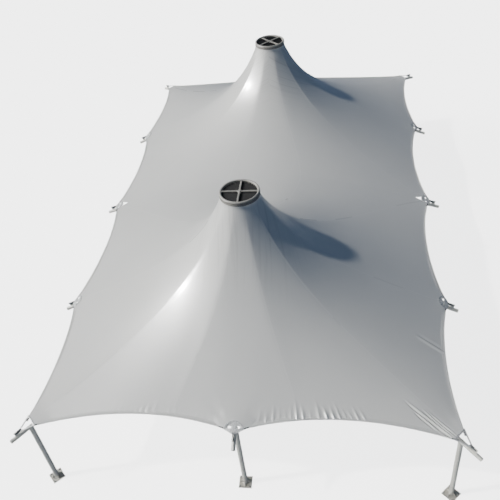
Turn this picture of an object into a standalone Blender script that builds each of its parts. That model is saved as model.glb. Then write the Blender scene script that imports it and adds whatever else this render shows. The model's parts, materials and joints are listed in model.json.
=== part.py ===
"""A free-standing canopy of two joined membrane cones on two masts and twelve edge posts.

Metres, +Z up. The origin is on the ground at the middle of the plan. The long axis is Y, and the
front end faces -Y. The plan is symmetric about both axes, so one quarter of the membrane's net is
worked out and mirrored.
"""

import math

import bmesh
import bpy
import numpy as np
from mathutils import Matrix, Vector

# The membrane's fixed points
HALF_WIDTH = 6.0
HALF_LENGTH = 10.33
SIDE_POINT_Y = 5.35
SIDE_POINT_BULGE = 0.05
SIDE_MIDDLE_BULGE = 0.03
EDGE_HEIGHT = 2.7
END_MIDDLE_RISE = 0.2
MAST_Y = 5.18
CONE_RISE = 4.15
RING_RADIUS = 0.555

# How hard the cloth pulls round the cone against up it, and the edge cables against the cloth
HOOP_PULL = 2.35
END_CABLE_PULL = 1.6
SIDE_CABLE_PULL = 2.0

# The net's grid: equal steps in each of the four sectors of a quarter, and rows from ring to edge
SECTOR_STEPS = (6, 5, 5, 5)
NET_ROWS = 11
# Share of a sector between a fixed point and the first net column beside it
PLATE_SHARE = (0.058, 0.07, 0.068, 0.034)

MEMBRANE_THICKNESS = 0.010
CABLE_RADIUS = 0.018
CABLE_SIDES = 6
GAP = 0.0003

# Membrane plates at the fixed points
PLATE_THICKNESS = 0.020
CORNER_PLATE_DEPTH = 0.34
MIDDLE_PLATE_DEPTH = 0.20
NOSE_HALF_WIDTH = 0.055
NOSE_REACH = 0.070
CABLE_SEAT = 0.030
WINDOW_SCALE = 0.50
HOLE_OFFSET = 0.125
HOLE_DEPTH = 0.077
HOLE_RADII = (0.050, 0.028)
HOLE_SIDES = 10
LINK_RADIUS = 0.030
LINK_START = 0.020
LINK_END = 0.150

# Edge posts: a vertical tube with an arm that slopes with the cloth and passes under the plate
POST_RADIUS = 0.070
POST_INSET = 0.22
ARM_RADIUS = 0.057
ARM_DROP = 0.150
ARM_INNER = 0.42
ARM_OUTER = 0.45
LUG_THICKNESS = 0.024
LUG_LENGTH = 0.110
LUG_TOP = 0.050
POST_BASE_SIZE = 0.38
POST_BASE_THICKNESS = 0.020
POST_GUSSET = (0.100, 0.130, 0.012)
GUSSET_LIP = 0.020
GUSSET_TOP = 0.015
GUSSET_BITE = 0.012

# Masts, ring heads and screens
MAST_RADIUS = 0.1095
MAST_BASE_SIZE = 0.62
MAST_BASE_THICKNESS = 0.028
MAST_GUSSET = (0.170, 0.240, 0.016)
MAST_TOP_BELOW_RING = 0.42
KING_POST_RADIUS = 0.045
KING_PLATE_RADIUS = 0.16
KING_PLATE_THICKNESS = 0.025
KING_PLATE_LAP = 0.010
BAND_INNER = 0.528
BAND_OUTER = 0.576
BAND_HEIGHT = 0.085
TOP_TUBE_RADIUS = 0.036
TOP_TUBE_ARC = (-60, 240)
TOP_TUBE_POINTS = 7
CROSS_WIDTH = 0.075
CROSS_DEPTH = 0.050
BAR_END_INSET = 0.006
HUB_RADIUS = 0.085
HUB_PROUD_BELOW = 0.004
HUB_PROUD_ABOVE = 0.012
SCREEN_BELOW_TOP = 0.075
SCREEN_THICKNESS = 0.008
FRONT_CROSS_TURN = 0.0
REAR_CROSS_TURN = math.radians(45)

ROUND_SIDES = 16
RING_SIDES = 32
SHARP_ANGLE = math.radians(38)


def clear_scene():
    for obj in list(bpy.data.objects):
        bpy.data.objects.remove(obj)


def material(name, rgb, roughness, metallic):
    """A Principled BSDF finish with a linear colour."""
    made = bpy.data.materials.new(name)
    made.use_nodes = True
    shader = made.node_tree.nodes["Principled BSDF"]
    shader.inputs["Base Color"].default_value = (*rgb, 1)
    shader.inputs["Roughness"].default_value = roughness
    shader.inputs["Metallic"].default_value = metallic
    return made


def unit(vector):
    return np.asarray(vector, float) / np.linalg.norm(vector)


# The net


def quarter_points():
    """The four fixed points of the front right quarter, and the middle of the valley."""
    low = EDGE_HEIGHT
    return np.array(
        [
            [0, -HALF_LENGTH, low + END_MIDDLE_RISE],
            [HALF_WIDTH, -HALF_LENGTH, low],
            [HALF_WIDTH + SIDE_POINT_BULGE, -SIDE_POINT_Y, low],
            [HALF_WIDTH + SIDE_MIDDLE_BULGE, 0, low],
            [0, 0, 0],
        ]
    )


def column_angles():
    """Angles of the net's columns round the mast, and where each sector starts in them."""
    points = quarter_points()
    corners = np.degrees(np.arctan2(points[:, 1] + MAST_Y, points[:, 0]))
    angles = [corners[0]]
    starts = [0]
    for sector, steps in enumerate(SECTOR_STEPS):
        share = PLATE_SHARE[sector]
        inner = np.linspace(share, 1 - share, steps + 1)
        if sector == 3:
            inner = np.linspace(share, 1, steps + 1)[:-1]
        spread = np.append(inner, 1)
        angles.extend(corners[sector] + spread * (corners[sector + 1] - corners[sector]))
        starts.append(len(angles) - 1)
    return np.radians(angles), starts


def solve_net(angles, starts, rows):
    """Balance point of every node of a prestressed net, as an array of columns by rows by xyz.

    Each link pulls its two nodes together with a force proportional to its length. Links up the
    cone weigh as the strip they stand for, links round it are HOOP_PULL squared times stronger,
    and the edge links add the cables. With the ring and the fixed points held, the balance of
    all forces is one linear system for each coordinate.
    """
    count = len(angles)
    nodes = count * (rows + 1)
    steps = np.diff(angles)
    pull = np.zeros((nodes, nodes))

    def node(column, row):
        return column * (rows + 1) + row

    def link(first, second, strength):
        pull[first, first] += strength
        pull[second, second] += strength
        pull[first, second] -= strength
        pull[second, first] -= strength

    widths = np.zeros(count)
    widths[:-1] += steps / 2
    widths[1:] += steps / 2
    for column in range(count):
        for row in range(rows):
            link(node(column, row), node(column, row + 1), widths[column] * rows)
    for column in range(count - 1):
        for row in range(rows + 1):
            share = 0.5 if row in (0, rows) else 1.0
            strength = HOOP_PULL**2 * share / rows / steps[column]
            link(node(column, row), node(column + 1, row), strength)
    for column in range(starts[3]):
        cable = END_CABLE_PULL if column < starts[1] else SIDE_CABLE_PULL
        link(node(column, rows), node(column + 1, rows), cable / steps[column])

    place = np.zeros((nodes, 3))
    held = np.zeros((nodes, 3), bool)
    ring = [node(column, 0) for column in range(count)]
    place[ring, 0] = RING_RADIUS * np.cos(angles)
    place[ring, 1] = -MAST_Y + RING_RADIUS * np.sin(angles)
    place[ring, 2] = EDGE_HEIGHT + CONE_RISE
    held[ring] = True
    for sector in range(4):
        fixed = node(starts[sector], rows)
        place[fixed] = quarter_points()[sector]
        held[fixed] = True
    # The quarter's two planes of symmetry, where nodes slide but don't leave the plane
    held[[node(0, row) for row in range(rows + 1)], 0] = True
    held[[node(count - 1, row) for row in range(rows + 1)], 0] = True
    held[[node(column, rows) for column in range(starts[3], count)], 1] = True
    for axis in range(3):
        free = ~held[:, axis]
        load = -pull[np.ix_(free, ~free)] @ place[~free, axis]
        place[free, axis] = np.linalg.solve(pull[np.ix_(free, free)], load)
    return place.reshape(count, rows + 1, 3)


def net_normals(net):
    """Unit normals of the quarter net, facing up and out, even across its symmetry planes."""
    mirrored = net * (-1, 1, 1)
    before = np.concatenate([mirrored[1:2], net[:-1]])
    after = np.concatenate([net[1:], mirrored[-2:-1]])
    around = after - before
    down = np.gradient(net, axis=1)
    normals = np.cross(down, around)
    valley = np.abs(net[:, -1, 1]) < 1e-9
    normals[valley, -1, 1] = 0
    normals /= np.linalg.norm(normals, axis=2, keepdims=True)
    return normals * np.where(normals[..., 2:] < 0, -1, 1)


def along_column(column, distance):
    """The point of a net column this far from its edge end."""
    for row in range(len(column) - 1, 0, -1):
        step = column[row - 1] - column[row]
        length = np.linalg.norm(step)
        if distance <= length:
            return column[row] + step * (distance / length)
        distance -= length
    return column[0]


# Fixed points and their plates


class FixedPoint:
    """One held point of the edge, with the plate's frame and the line where the cloth is clamped.

    The frame has its origin at the point, x along the edge, y outward in line with the cloth's
    pull and z up through the plate. Clamp points run from one cable to the other.
    """

    def __init__(self, name, point, first, last, inner, next_first, next_last):
        self.name = name
        self.point = point
        middle = inner[len(inner) // 2]
        self.out = unit(point - middle)
        self.up = unit(np.cross(self.out, last - first))
        if self.up[2] < 0:
            self.up = -self.up
        self.side = np.cross(self.out, self.up)
        ends = []
        for cable, following in ((first, next_first), (last, next_last)):
            along = unit(self.flat(following) - self.flat(cable))
            inward = np.cross(self.up, along)
            if inward @ self.out > 0:
                inward = -inward
            ends.append((self.flat(cable), along, inward))
        self.ends = ends
        reach = CABLE_RADIUS + GAP
        clamp = [self.flat(spot) for spot in inner]
        start = ends[0][0] + ends[0][2] * reach
        finish = ends[1][0] + ends[1][2] * reach
        self.clamp = [start, *clamp, finish]

    def flat(self, spot):
        """The spot moved straight onto the plate's plane."""
        return spot - self.up * ((spot - self.point) @ self.up)

    def local(self, spot):
        """The spot in the plate's own plane coordinates."""
        offset = spot - self.point
        return Vector((offset @ self.side, offset @ self.out))

    def matrix(self):
        frame = Matrix(np.column_stack([self.side, self.out, self.up]).tolist()).to_4x4()
        frame.translation = Vector(self.point)
        return frame


def mirrored_name(template, across, along):
    side = {1: "right", -1: "left"}[across]
    end = {1: "front", -1: "rear"}[along]
    return template.format(side=side, end=end)


def fixed_points(net, starts):
    """All twelve fixed points, from the quarter's four and their mirror images."""
    edge = net[:, -1]
    corner, side, middle = starts[1], starts[2], starts[3]
    flip_x = np.array([-1, 1, 1])
    flip_y = np.array([1, -1, 1])
    quarter = {
        "{end}_middle": (
            edge[0],
            (edge[1] * flip_x, edge[1]),
            [along_column(net[0], MIDDLE_PLATE_DEPTH)],
            (edge[2] * flip_x, edge[2]),
        ),
        "{end}_{side}": (
            edge[corner],
            (edge[corner - 1], edge[corner + 1]),
            [along_column(net[corner], CORNER_PLATE_DEPTH)],
            (edge[corner - 2], edge[corner + 2]),
        ),
        "{side}_{end}": (
            edge[side],
            (edge[side - 1], edge[side + 1]),
            [along_column(net[side], MIDDLE_PLATE_DEPTH)],
            (edge[side - 2], edge[side + 2]),
        ),
        "{side}_middle": (
            edge[middle],
            (edge[middle - 1], edge[middle - 1] * flip_y),
            [
                along_column(net[middle], MIDDLE_PLATE_DEPTH),
                edge[middle + 1],
                along_column(net[middle], MIDDLE_PLATE_DEPTH) * flip_y,
            ],
            (edge[middle - 2], edge[middle - 2] * flip_y),
        ),
    }
    found = {}
    for template, (point, near, inner, following) in quarter.items():
        for across in (1, -1):
            for along in (1, -1):
                name = mirrored_name(template, across, along)
                if name in found:
                    continue
                turn = np.array([across, along, 1])
                found[name] = FixedPoint(
                    name,
                    point * turn,
                    near[0] * turn,
                    near[1] * turn,
                    [spot * turn for spot in inner],
                    following[0] * turn,
                    following[1] * turn,
                )
    return found


# Meshes


def new_object(name, mesh, finish):
    mesh.materials.clear()
    mesh.materials.append(finish)
    mesh.shade_smooth()
    mesh.set_sharp_from_angle(angle=SHARP_ANGLE)
    obj = bpy.data.objects.new(name, mesh)
    bpy.context.scene.collection.objects.link(obj)
    return obj


def mesh_of(points, faces):
    """A mesh with its faces turned outward."""
    mesh = bpy.data.meshes.new("shape")
    mesh.from_pydata([tuple(map(float, point)) for point in points], [], faces)
    bm = bmesh.new()
    bm.from_mesh(mesh)
    bmesh.ops.recalc_face_normals(bm, faces=bm.faces)
    bm.to_mesh(mesh)
    bm.free()
    return mesh


def swept_tube(path, radius, sides, start=None, finish=None):
    """A tube along a path of straight runs, mitred where they meet.

    Its ends are cut square, or square to the directions given for them.
    """
    path = np.asarray(path, float)
    runs = np.diff(path, axis=0)
    runs /= np.linalg.norm(runs, axis=1)[:, None]
    first = runs[:1] if start is None else [start]
    last = runs[-1:] if finish is None else [finish]
    tangents = np.concatenate([first, runs[:-1] + runs[1:], last])
    tangents /= np.linalg.norm(tangents, axis=1)[:, None]
    helper = np.array([0, 0, 1.0]) if abs(tangents[0][2]) < 0.9 else np.array([1.0, 0, 0])
    across = np.cross(tangents, helper)
    across /= np.linalg.norm(across, axis=1)[:, None]
    upward = np.cross(across, tangents)
    turns = np.arange(sides) * 2 * math.pi / sides
    rings = (
        path[:, None]
        + radius * np.cos(turns)[None, :, None] * across[:, None]
        + radius * np.sin(turns)[None, :, None] * upward[:, None]
    )
    faces = []
    for ring in range(len(path) - 1):
        for side in range(sides):
            low, high = ring * sides, (ring + 1) * sides
            after = (side + 1) % sides
            faces.append((low + side, low + after, high + after, high + side))
    faces.append(tuple(range(sides)))
    faces.append(tuple(range((len(path) - 1) * sides, len(path) * sides)))
    return mesh_of(rings.reshape(-1, 3), faces)


def turned(profile, sides):
    """A closed profile of radius and height turned once round the Z axis."""
    profile = np.asarray(profile, float)
    turns = np.arange(sides) * 2 * math.pi / sides
    points = np.stack(
        [
            np.outer(np.cos(turns), profile[:, 0]),
            np.outer(np.sin(turns), profile[:, 0]),
            np.tile(profile[:, 1], (sides, 1)),
        ],
        axis=2,
    )
    count = len(profile)
    faces = []
    for turn in range(sides):
        for spot in range(count):
            here, there = turn * count, (turn + 1) % sides * count
            after = (spot + 1) % count
            faces.append((here + spot, here + after, there + after, there + spot))
    return mesh_of(points.reshape(-1, 3), faces)


def block(low, high):
    """A box between two opposite corners."""
    bm = bmesh.new()
    bmesh.ops.create_cube(bm, size=1)
    centre = (Vector(low) + Vector(high)) / 2
    size = Vector(high) - Vector(low)
    bmesh.ops.scale(bm, vec=size, verts=bm.verts)
    bmesh.ops.translate(bm, vec=centre, verts=bm.verts)
    mesh = bpy.data.meshes.new("block")
    bm.to_mesh(mesh)
    bm.free()
    return mesh


def sheet_plate(outline, holes, thickness):
    """A flat plate lying on both sides of Z = 0, with its outline and holes in the XY plane."""
    bm = bmesh.new()
    edges = []
    for loop in (outline, *holes):
        verts = [bm.verts.new((spot[0], spot[1], -thickness / 2)) for spot in loop]
        for first, second in zip(verts, verts[1:] + verts[:1]):
            edges.append(bm.edges.new((first, second)))
    bmesh.ops.triangle_fill(bm, use_beauty=True, edges=edges)
    grown = bmesh.ops.extrude_face_region(bm, geom=list(bm.faces))
    raised = [item for item in grown["geom"] if isinstance(item, bmesh.types.BMVert)]
    bmesh.ops.translate(bm, vec=(0, 0, thickness), verts=raised)
    bmesh.ops.recalc_face_normals(bm, faces=bm.faces)
    mesh = bpy.data.meshes.new("plate")
    bm.to_mesh(mesh)
    bm.free()
    return mesh


def oval(centre, radii):
    turns = [2 * math.pi * step / HOLE_SIDES for step in range(HOLE_SIDES)]
    return [
        (centre[0] + radii[0] * math.cos(turn), centre[1] + radii[1] * math.sin(turn))
        for turn in turns
    ]


def gusset(reach, height, thickness, start, floor):
    """A stiffening triangle on a base plate, standing along +X from a tube's wall."""
    outline = [(start, floor), (start + reach, floor), (start + reach, floor + GUSSET_LIP)]
    outline += [(start + GUSSET_TOP, floor + height), (start, floor + height)]
    mesh = sheet_plate(outline, [], thickness)
    mesh.transform(Matrix.Rotation(math.pi / 2, 4, "X"))
    return mesh


def fused(meshes):
    """One mesh from overlapping closed meshes."""
    base = bpy.data.objects.new("base", meshes[0])
    bpy.context.scene.collection.objects.link(base)
    helpers = []
    for mesh in meshes[1:]:
        helper = bpy.data.objects.new("helper", mesh)
        bpy.context.scene.collection.objects.link(helper)
        helpers.append(helper)
        joint = base.modifiers.new("join", "BOOLEAN")
        joint.operation = "UNION"
        joint.solver = "EXACT"
        joint.object = helper
    graph = bpy.context.evaluated_depsgraph_get()
    mesh = bpy.data.meshes.new_from_object(base.evaluated_get(graph))
    for obj in (base, *helpers):
        bpy.data.objects.remove(obj)
    return mesh


# The membrane


def trimmed_edge(net, normals, starts, points):
    """The quarter net with its edge row set back to the cables and to the plates' clamp lines."""
    net = net.copy()
    normals = normals.copy()
    edge = net[:, -1].copy()
    for sector in range(3):
        first, last = starts[sector] + 1, starts[sector + 1] - 1
        for column in range(first, last + 1):
            before = max(column - 1, first)
            after = min(column + 1, last)
            along = unit(edge[after] - edge[before])
            inward = unit(np.cross(normals[column, -1], along))
            if inward @ (net[column, -2] - edge[column]) < 0:
                inward = -inward
            net[column, -1] = edge[column] + inward * (CABLE_RADIUS + GAP)
    corner, side, middle = starts[1], starts[2], starts[3]
    seats = {
        "front_middle": {0: 1, 1: 2},
        "front_right": {corner - 1: 0, corner: 1, corner + 1: 2},
        "right_front": {side - 1: 0, side: 1, side + 1: 2},
        "right_middle": {middle - 1: 0, middle: 1, middle + 1: 2},
    }
    for name, columns in seats.items():
        for column, spot in columns.items():
            net[column, -1] = points[name].clamp[spot]
            normals[column, -1] = points[name].up
    return net, normals


def panel_mesh(net, normals, seams):
    """A closed sheet from part of the net, half its thickness to each side of it.

    Where a long side is a seam, that side is set back a little towards the panel's inside.
    """
    net = net.copy()
    for side, inside in ((0, 1), (-1, -2)):
        if seams[side]:
            step = net[inside] - net[side]
            net[side] += step / np.linalg.norm(step, axis=1)[:, None] * GAP
    half = normals * MEMBRANE_THICKNESS / 2
    upper = net + half
    lower = net - half
    # The top edge lies level under the ring, and the valley edge stands in the middle plane
    for sheet in (upper, lower):
        sheet[:, 0, 2] = EDGE_HEIGHT + CONE_RISE - GAP
        valley = np.abs(net[:, -1, 1]) < 1e-6
        sheet[valley, -1, 1] = -GAP
    columns, rows = net.shape[:2]
    count = columns * rows
    points = np.concatenate([upper.reshape(-1, 3), lower.reshape(-1, 3)])

    def index(column, row):
        return column * rows + row

    faces = []
    for column in range(columns - 1):
        for row in range(rows - 1):
            quad = [index(column, row), index(column + 1, row)]
            quad += [index(column + 1, row + 1), index(column, row + 1)]
            faces.append(tuple(quad))
            faces.append(tuple(count + corner for corner in reversed(quad)))
    rim = [index(column, 0) for column in range(columns)]
    rim += [index(columns - 1, row) for row in range(1, rows)]
    rim += [index(column, rows - 1) for column in range(columns - 2, -1, -1)]
    rim += [index(0, row) for row in range(rows - 2, 0, -1)]
    for first, second in zip(rim, rim[1:] + rim[:1]):
        faces.append((first, second, count + second, count + first))
    return mesh_of(points, faces)


def make_membrane(net, normals, starts, finish):
    """Eight panels, split at the seams that run from the rings to the corners and side middles."""
    flip_x = np.array([-1, 1, 1])
    corner, middle = starts[1], starts[3]

    def both_sides(array, columns):
        """The columns and their mirror images, in order round the cone, sharing the middle one."""
        part = array[columns]
        return np.concatenate([(part * flip_x)[::-1], part[1:]])

    end = slice(0, corner + 1)
    side = slice(corner, middle + 1)
    valley = slice(middle, None)
    panels = {
        "{end}_end": (both_sides(net, end), both_sides(normals, end)),
        "{end}_right": (net[side], normals[side]),
        "{end}_left": (net[side] * flip_x, normals[side] * flip_x),
        "{end}_valley": (
            both_sides(net[::-1], slice(0, len(net) - middle)),
            both_sides(normals[::-1], slice(0, len(net) - middle)),
        ),
    }
    for template, (points, outward) in panels.items():
        front = panel_mesh(points, outward, {0: True, -1: True})
        rear = front.copy()
        rear.transform(Matrix.Scale(-1, 4, (0, 1, 0)))
        rear.flip_normals()
        new_object("membrane_" + template.format(end="front"), front, finish)
        new_object("membrane_" + template.format(end="rear"), rear, finish)


def make_cables(net, starts, points, finish):
    """Twelve edge cables, each from plate to plate."""
    edge = net[:, -1]
    names = ("{end}_{side}", "{side}_{end}_outer", "{side}_{end}_inner")
    holders = (
        ("front_middle", "front_right"),
        ("front_right", "right_front"),
        ("right_front", "right_middle"),
    )
    for sector, template in enumerate(names):
        path = edge[starts[sector] + 1 : starts[sector + 1]].copy()
        first, onward, _ = points[holders[sector][0]].ends[1]
        last, back, _ = points[holders[sector][1]].ends[0]
        path[0] = first + onward * GAP
        path[-1] = last + back * GAP
        for across in (1, -1):
            for along in (1, -1):
                name = "edge_cable_" + mirrored_name(template, across, along)
                turn = np.array([across, along, 1])
                mesh = swept_tube(
                    path * turn, CABLE_RADIUS, CABLE_SIDES, onward * turn, -back * turn
                )
                new_object(name, mesh, finish)


def make_plate(fixed, is_corner, finish):
    """A membrane plate: clamp edge, cable seats, windows, and the link to the post's lug."""
    clamp = [fixed.local(spot) + Vector((0, 2 * GAP)) for spot in fixed.clamp]
    seats = []
    for spot, along, inward in fixed.ends:
        outer = fixed.local(spot - inward * CABLE_SEAT)
        seats.append(outer)
    if clamp[0].x > clamp[-1].x:
        clamp.reverse()
        seats.reverse()
    outline = [(-NOSE_HALF_WIDTH, NOSE_REACH), seats[0], *clamp, seats[1]]
    outline.append((NOSE_HALF_WIDTH, NOSE_REACH))
    if is_corner:
        middle = sum((Vector(spot) for spot in outline), Vector((0, 0))) / len(outline)
        triangle = [Vector((0, NOSE_REACH)), clamp[0], clamp[-1]]
        holes = [[middle + (spot - middle) * WINDOW_SCALE for spot in triangle]]
    else:
        holes = [oval((turn * HOLE_OFFSET, -HOLE_DEPTH), HOLE_RADII) for turn in (-1, 1)]
    plate = sheet_plate(outline, holes, PLATE_THICKNESS)
    link = swept_tube([(0, LINK_START, 0), (0, LINK_END, 0)], LINK_RADIUS, ROUND_SIDES)
    obj = new_object("membrane_plate_" + fixed.name, fused([plate, link]), finish)
    obj.matrix_world = fixed.matrix()
    return obj


def make_post(fixed, finish):
    """An edge post with its foot, its sloping arm and the lug that the plate pulls on."""
    flat = unit(fixed.out * (1, 1, 0))
    slope = math.asin(-fixed.out[2])
    # Local x is outward and z is up, with the origin at the foot
    head = Vector((POST_INSET, 0, fixed.point[2]))
    out = Vector((math.cos(slope), 0, -math.sin(slope)))
    up = Vector((math.sin(slope), 0, math.cos(slope)))
    arm_middle = head - up * ARM_DROP
    arm = swept_tube(
        [arm_middle - out * ARM_INNER, arm_middle + out * ARM_OUTER], ARM_RADIUS, ROUND_SIDES
    )
    post_top = arm_middle.z + (POST_INSET / out.x) * math.sin(slope)
    tube = swept_tube(
        [(0, 0, POST_BASE_THICKNESS / 2), (0, 0, post_top)], POST_RADIUS, ROUND_SIDES
    )
    half = POST_BASE_SIZE / 2
    foot = block((-half, -half, 0), (half, half, POST_BASE_THICKNESS))
    lug = block(
        (LINK_END + GAP, -LUG_THICKNESS / 2, -ARM_DROP),
        (LINK_END + GAP + LUG_LENGTH, LUG_THICKNESS / 2, LUG_TOP),
    )
    tilt = Matrix((out, (0, 1, 0), up)).transposed().to_4x4()
    tilt.translation = head
    lug.transform(tilt)
    shapes = [tube, foot, arm, lug]
    reach, height, thickness = POST_GUSSET
    for quarter in range(4):
        start = POST_RADIUS - GUSSET_BITE
        stiffener = gusset(reach, height, thickness, start, POST_BASE_THICKNESS / 2)
        stiffener.transform(Matrix.Rotation(quarter * math.pi / 2, 4, "Z"))
        shapes.append(stiffener)
    obj = new_object("edge_post_" + fixed.name, fused(shapes), finish)
    foot_place = fixed.point - flat * POST_INSET
    obj.location = (foot_place[0], foot_place[1], 0)
    obj.rotation_euler = (0, 0, math.atan2(flat[1], flat[0]))
    return obj


# Masts and ring heads


def ring_top():
    return EDGE_HEIGHT + CONE_RISE + BAND_HEIGHT + 2 * TOP_TUBE_RADIUS


def make_mast(name, y, finish):
    """A mast with its foot, its head plate and the king post that carries the ring's hub."""
    top = EDGE_HEIGHT + CONE_RISE - MAST_TOP_BELOW_RING
    half = MAST_BASE_SIZE / 2
    hub_underside = ring_top() - CROSS_DEPTH
    king_top = hub_underside - GAP
    shapes = [
        swept_tube([(0, 0, MAST_BASE_THICKNESS / 2), (0, 0, top)], MAST_RADIUS, ROUND_SIDES),
        block((-half, -half, 0), (half, half, MAST_BASE_THICKNESS)),
        swept_tube(
            [(0, 0, top - KING_PLATE_LAP), (0, 0, top + KING_PLATE_THICKNESS)],
            KING_PLATE_RADIUS,
            ROUND_SIDES,
        ),
        swept_tube([(0, 0, top), (0, 0, king_top)], KING_POST_RADIUS, ROUND_SIDES),
    ]
    reach, height, thickness = MAST_GUSSET
    for quarter in range(4):
        start = MAST_RADIUS - GUSSET_BITE
        stiffener = gusset(reach, height, thickness, start, MAST_BASE_THICKNESS / 2)
        stiffener.transform(Matrix.Rotation(quarter * math.pi / 2, 4, "Z"))
        shapes.append(stiffener)
    obj = new_object(name, fused(shapes), finish)
    obj.location = (0, y, 0)
    return obj


def make_ring_head(name, y, turn, finish):
    """The ring that the cloth's top edge is clamped to, with its cross and hub."""
    low = EDGE_HEIGHT + CONE_RISE
    band_top = low + BAND_HEIGHT
    centre = (BAND_INNER + BAND_OUTER) / 2
    profile = [(BAND_INNER, low), (BAND_OUTER, low), (BAND_OUTER, band_top)]
    for angle in np.radians(np.linspace(*TOP_TUBE_ARC, TOP_TUBE_POINTS)):
        radius = centre + TOP_TUBE_RADIUS * math.cos(angle)
        height = band_top + TOP_TUBE_RADIUS * (1 + math.sin(angle))
        profile.append((radius, height))
    profile.append((BAND_INNER, band_top))
    top = ring_top()
    shapes = [turned(profile, RING_SIDES)]
    reach = centre - BAR_END_INSET
    low_side = top - CROSS_DEPTH
    for quarter in range(2):
        bar = block(
            (-reach, -CROSS_WIDTH / 2, low_side + HUB_PROUD_BELOW),
            (reach, CROSS_WIDTH / 2, top - HUB_PROUD_ABOVE),
        )
        bar.transform(Matrix.Rotation(turn + quarter * math.pi / 2, 4, "Z"))
        shapes.append(bar)
    shapes.append(swept_tube([(0, 0, low_side), (0, 0, top)], HUB_RADIUS, ROUND_SIDES))
    obj = new_object(name, fused(shapes), finish)
    obj.location = (0, y, 0)
    return obj


def make_screen(name, y, finish):
    """The mesh disc that closes the ring under its cross, round the king post."""
    top = ring_top() - SCREEN_BELOW_TOP
    low = top - SCREEN_THICKNESS
    outer = (BAND_INNER - GAP) * math.cos(math.pi / RING_SIDES)
    inner = (KING_POST_RADIUS + GAP) / math.cos(math.pi / RING_SIDES)
    obj = new_object(
        name, turned([(inner, low), (outer, low), (outer, top), (inner, top)], RING_SIDES), finish
    )
    obj.location = (0, y, 0)
    return obj


def main():
    clear_scene()
    cloth = material("coated_membrane", (0.62, 0.62, 0.61), 0.38, 0.0)
    cable_steel = material("cable_steel", (0.45, 0.46, 0.47), 0.35, 1.0)
    plate_steel = material("galvanised_plate", (0.55, 0.56, 0.57), 0.45, 0.9)
    paint = material("light_grey_paint", (0.52, 0.53, 0.53), 0.42, 0.0)
    dark_mesh = material("dark_mesh", (0.05, 0.055, 0.06), 0.6, 0.2)

    angles, starts = column_angles()
    net = solve_net(angles, starts, NET_ROWS)
    normals = net_normals(net)
    points = fixed_points(net, starts)
    cut_net, cut_normals = trimmed_edge(net, normals, starts, points)
    make_membrane(cut_net, cut_normals, starts, cloth)
    make_cables(net, starts, points, cable_steel)
    corners = {mirrored_name("{end}_{side}", x, y) for x in (1, -1) for y in (1, -1)}
    for name, fixed in points.items():
        make_plate(fixed, name in corners, plate_steel)
        make_post(fixed, paint)
    for end, y, turn in (
        ("front", -MAST_Y, FRONT_CROSS_TURN),
        ("rear", MAST_Y, REAR_CROSS_TURN),
    ):
        make_mast("mast_" + end, y, paint)
        make_ring_head("ring_head_" + end, y, turn, paint)
        make_screen("ring_screen_" + end, y, dark_mesh)


main()
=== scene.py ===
# %% [markdown]
# # A twin-cone membrane canopy
# The CAD model gives every solid its place. This script dresses it: one continuous stretched
# cloth, its hem and edge ropes, the clamped corner fittings, the ring heads, and the paint and
# zinc of the steel. Distances are metres, +Z is up, and the front end faces -Y.

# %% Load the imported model
import json
import math

import bmesh
import bpy
import numpy as np
from mathutils import Matrix, Vector

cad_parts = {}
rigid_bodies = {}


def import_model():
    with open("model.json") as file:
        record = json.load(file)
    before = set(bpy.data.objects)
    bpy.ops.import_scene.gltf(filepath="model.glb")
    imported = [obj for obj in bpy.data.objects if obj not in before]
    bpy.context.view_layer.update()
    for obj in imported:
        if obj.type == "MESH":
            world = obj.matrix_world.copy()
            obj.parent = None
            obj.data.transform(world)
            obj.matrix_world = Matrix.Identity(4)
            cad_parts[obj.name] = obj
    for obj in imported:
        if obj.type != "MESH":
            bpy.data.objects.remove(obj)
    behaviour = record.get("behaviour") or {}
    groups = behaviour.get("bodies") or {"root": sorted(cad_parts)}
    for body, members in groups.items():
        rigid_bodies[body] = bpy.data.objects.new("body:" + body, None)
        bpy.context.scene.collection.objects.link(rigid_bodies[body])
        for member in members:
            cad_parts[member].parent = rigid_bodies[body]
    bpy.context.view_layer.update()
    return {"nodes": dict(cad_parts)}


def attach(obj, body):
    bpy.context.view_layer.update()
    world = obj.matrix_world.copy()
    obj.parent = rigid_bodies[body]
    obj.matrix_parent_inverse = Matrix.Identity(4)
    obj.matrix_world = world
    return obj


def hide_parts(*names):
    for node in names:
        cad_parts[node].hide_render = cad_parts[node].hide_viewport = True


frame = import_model()
print("nodes:", len(frame["nodes"]))

# %% [markdown]
# ## Tools for materials
# Colours are written as sRGB hex values, as a paint card gives them, and Blender's shaders want
# linear light, so one function turns them. Another sets or links a node's inputs, and a third
# adds any node with its settings, which keeps each material to a few readable lines.

# %% Colours, nodes and finishes
# A colour Mix node shares its socket names with its other kinds, so its sockets go by number
SHARE, FIRST, SECOND, MIXED = 0, 6, 7, 2


def linear(code):
    """A '#RRGGBB' sRGB colour as linear RGBA."""
    parts = [int(code[k : k + 2], 16) / 255 for k in (1, 3, 5)]
    return (*(p / 12.92 if p <= 0.04045 else ((p + 0.055) / 1.055) ** 2.4 for p in parts), 1)


def feed(target, feeds):
    """Sets each named input of a node to a value, or links it to another node's output."""
    for socket, value in feeds.items():
        if isinstance(value, bpy.types.NodeSocket):
            target.id_data.links.new(value, target.inputs[socket])
        else:
            target.inputs[socket].default_value = value
    return target


def node(tree, kind, feeds, **settings):
    """Adds one node with its settings and its feeds."""
    made = tree.nodes.new(kind)
    for name, value in settings.items():
        setattr(made, name, value)
    return feed(made, feeds)


def finish(name, constants):
    """A new material, its node tree and its shader, with the constant values set."""
    made = bpy.data.materials.new(name)
    made.use_nodes = True
    return made, made.node_tree, feed(made.node_tree.nodes["Principled BSDF"], constants)


print("material tools ready")

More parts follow.
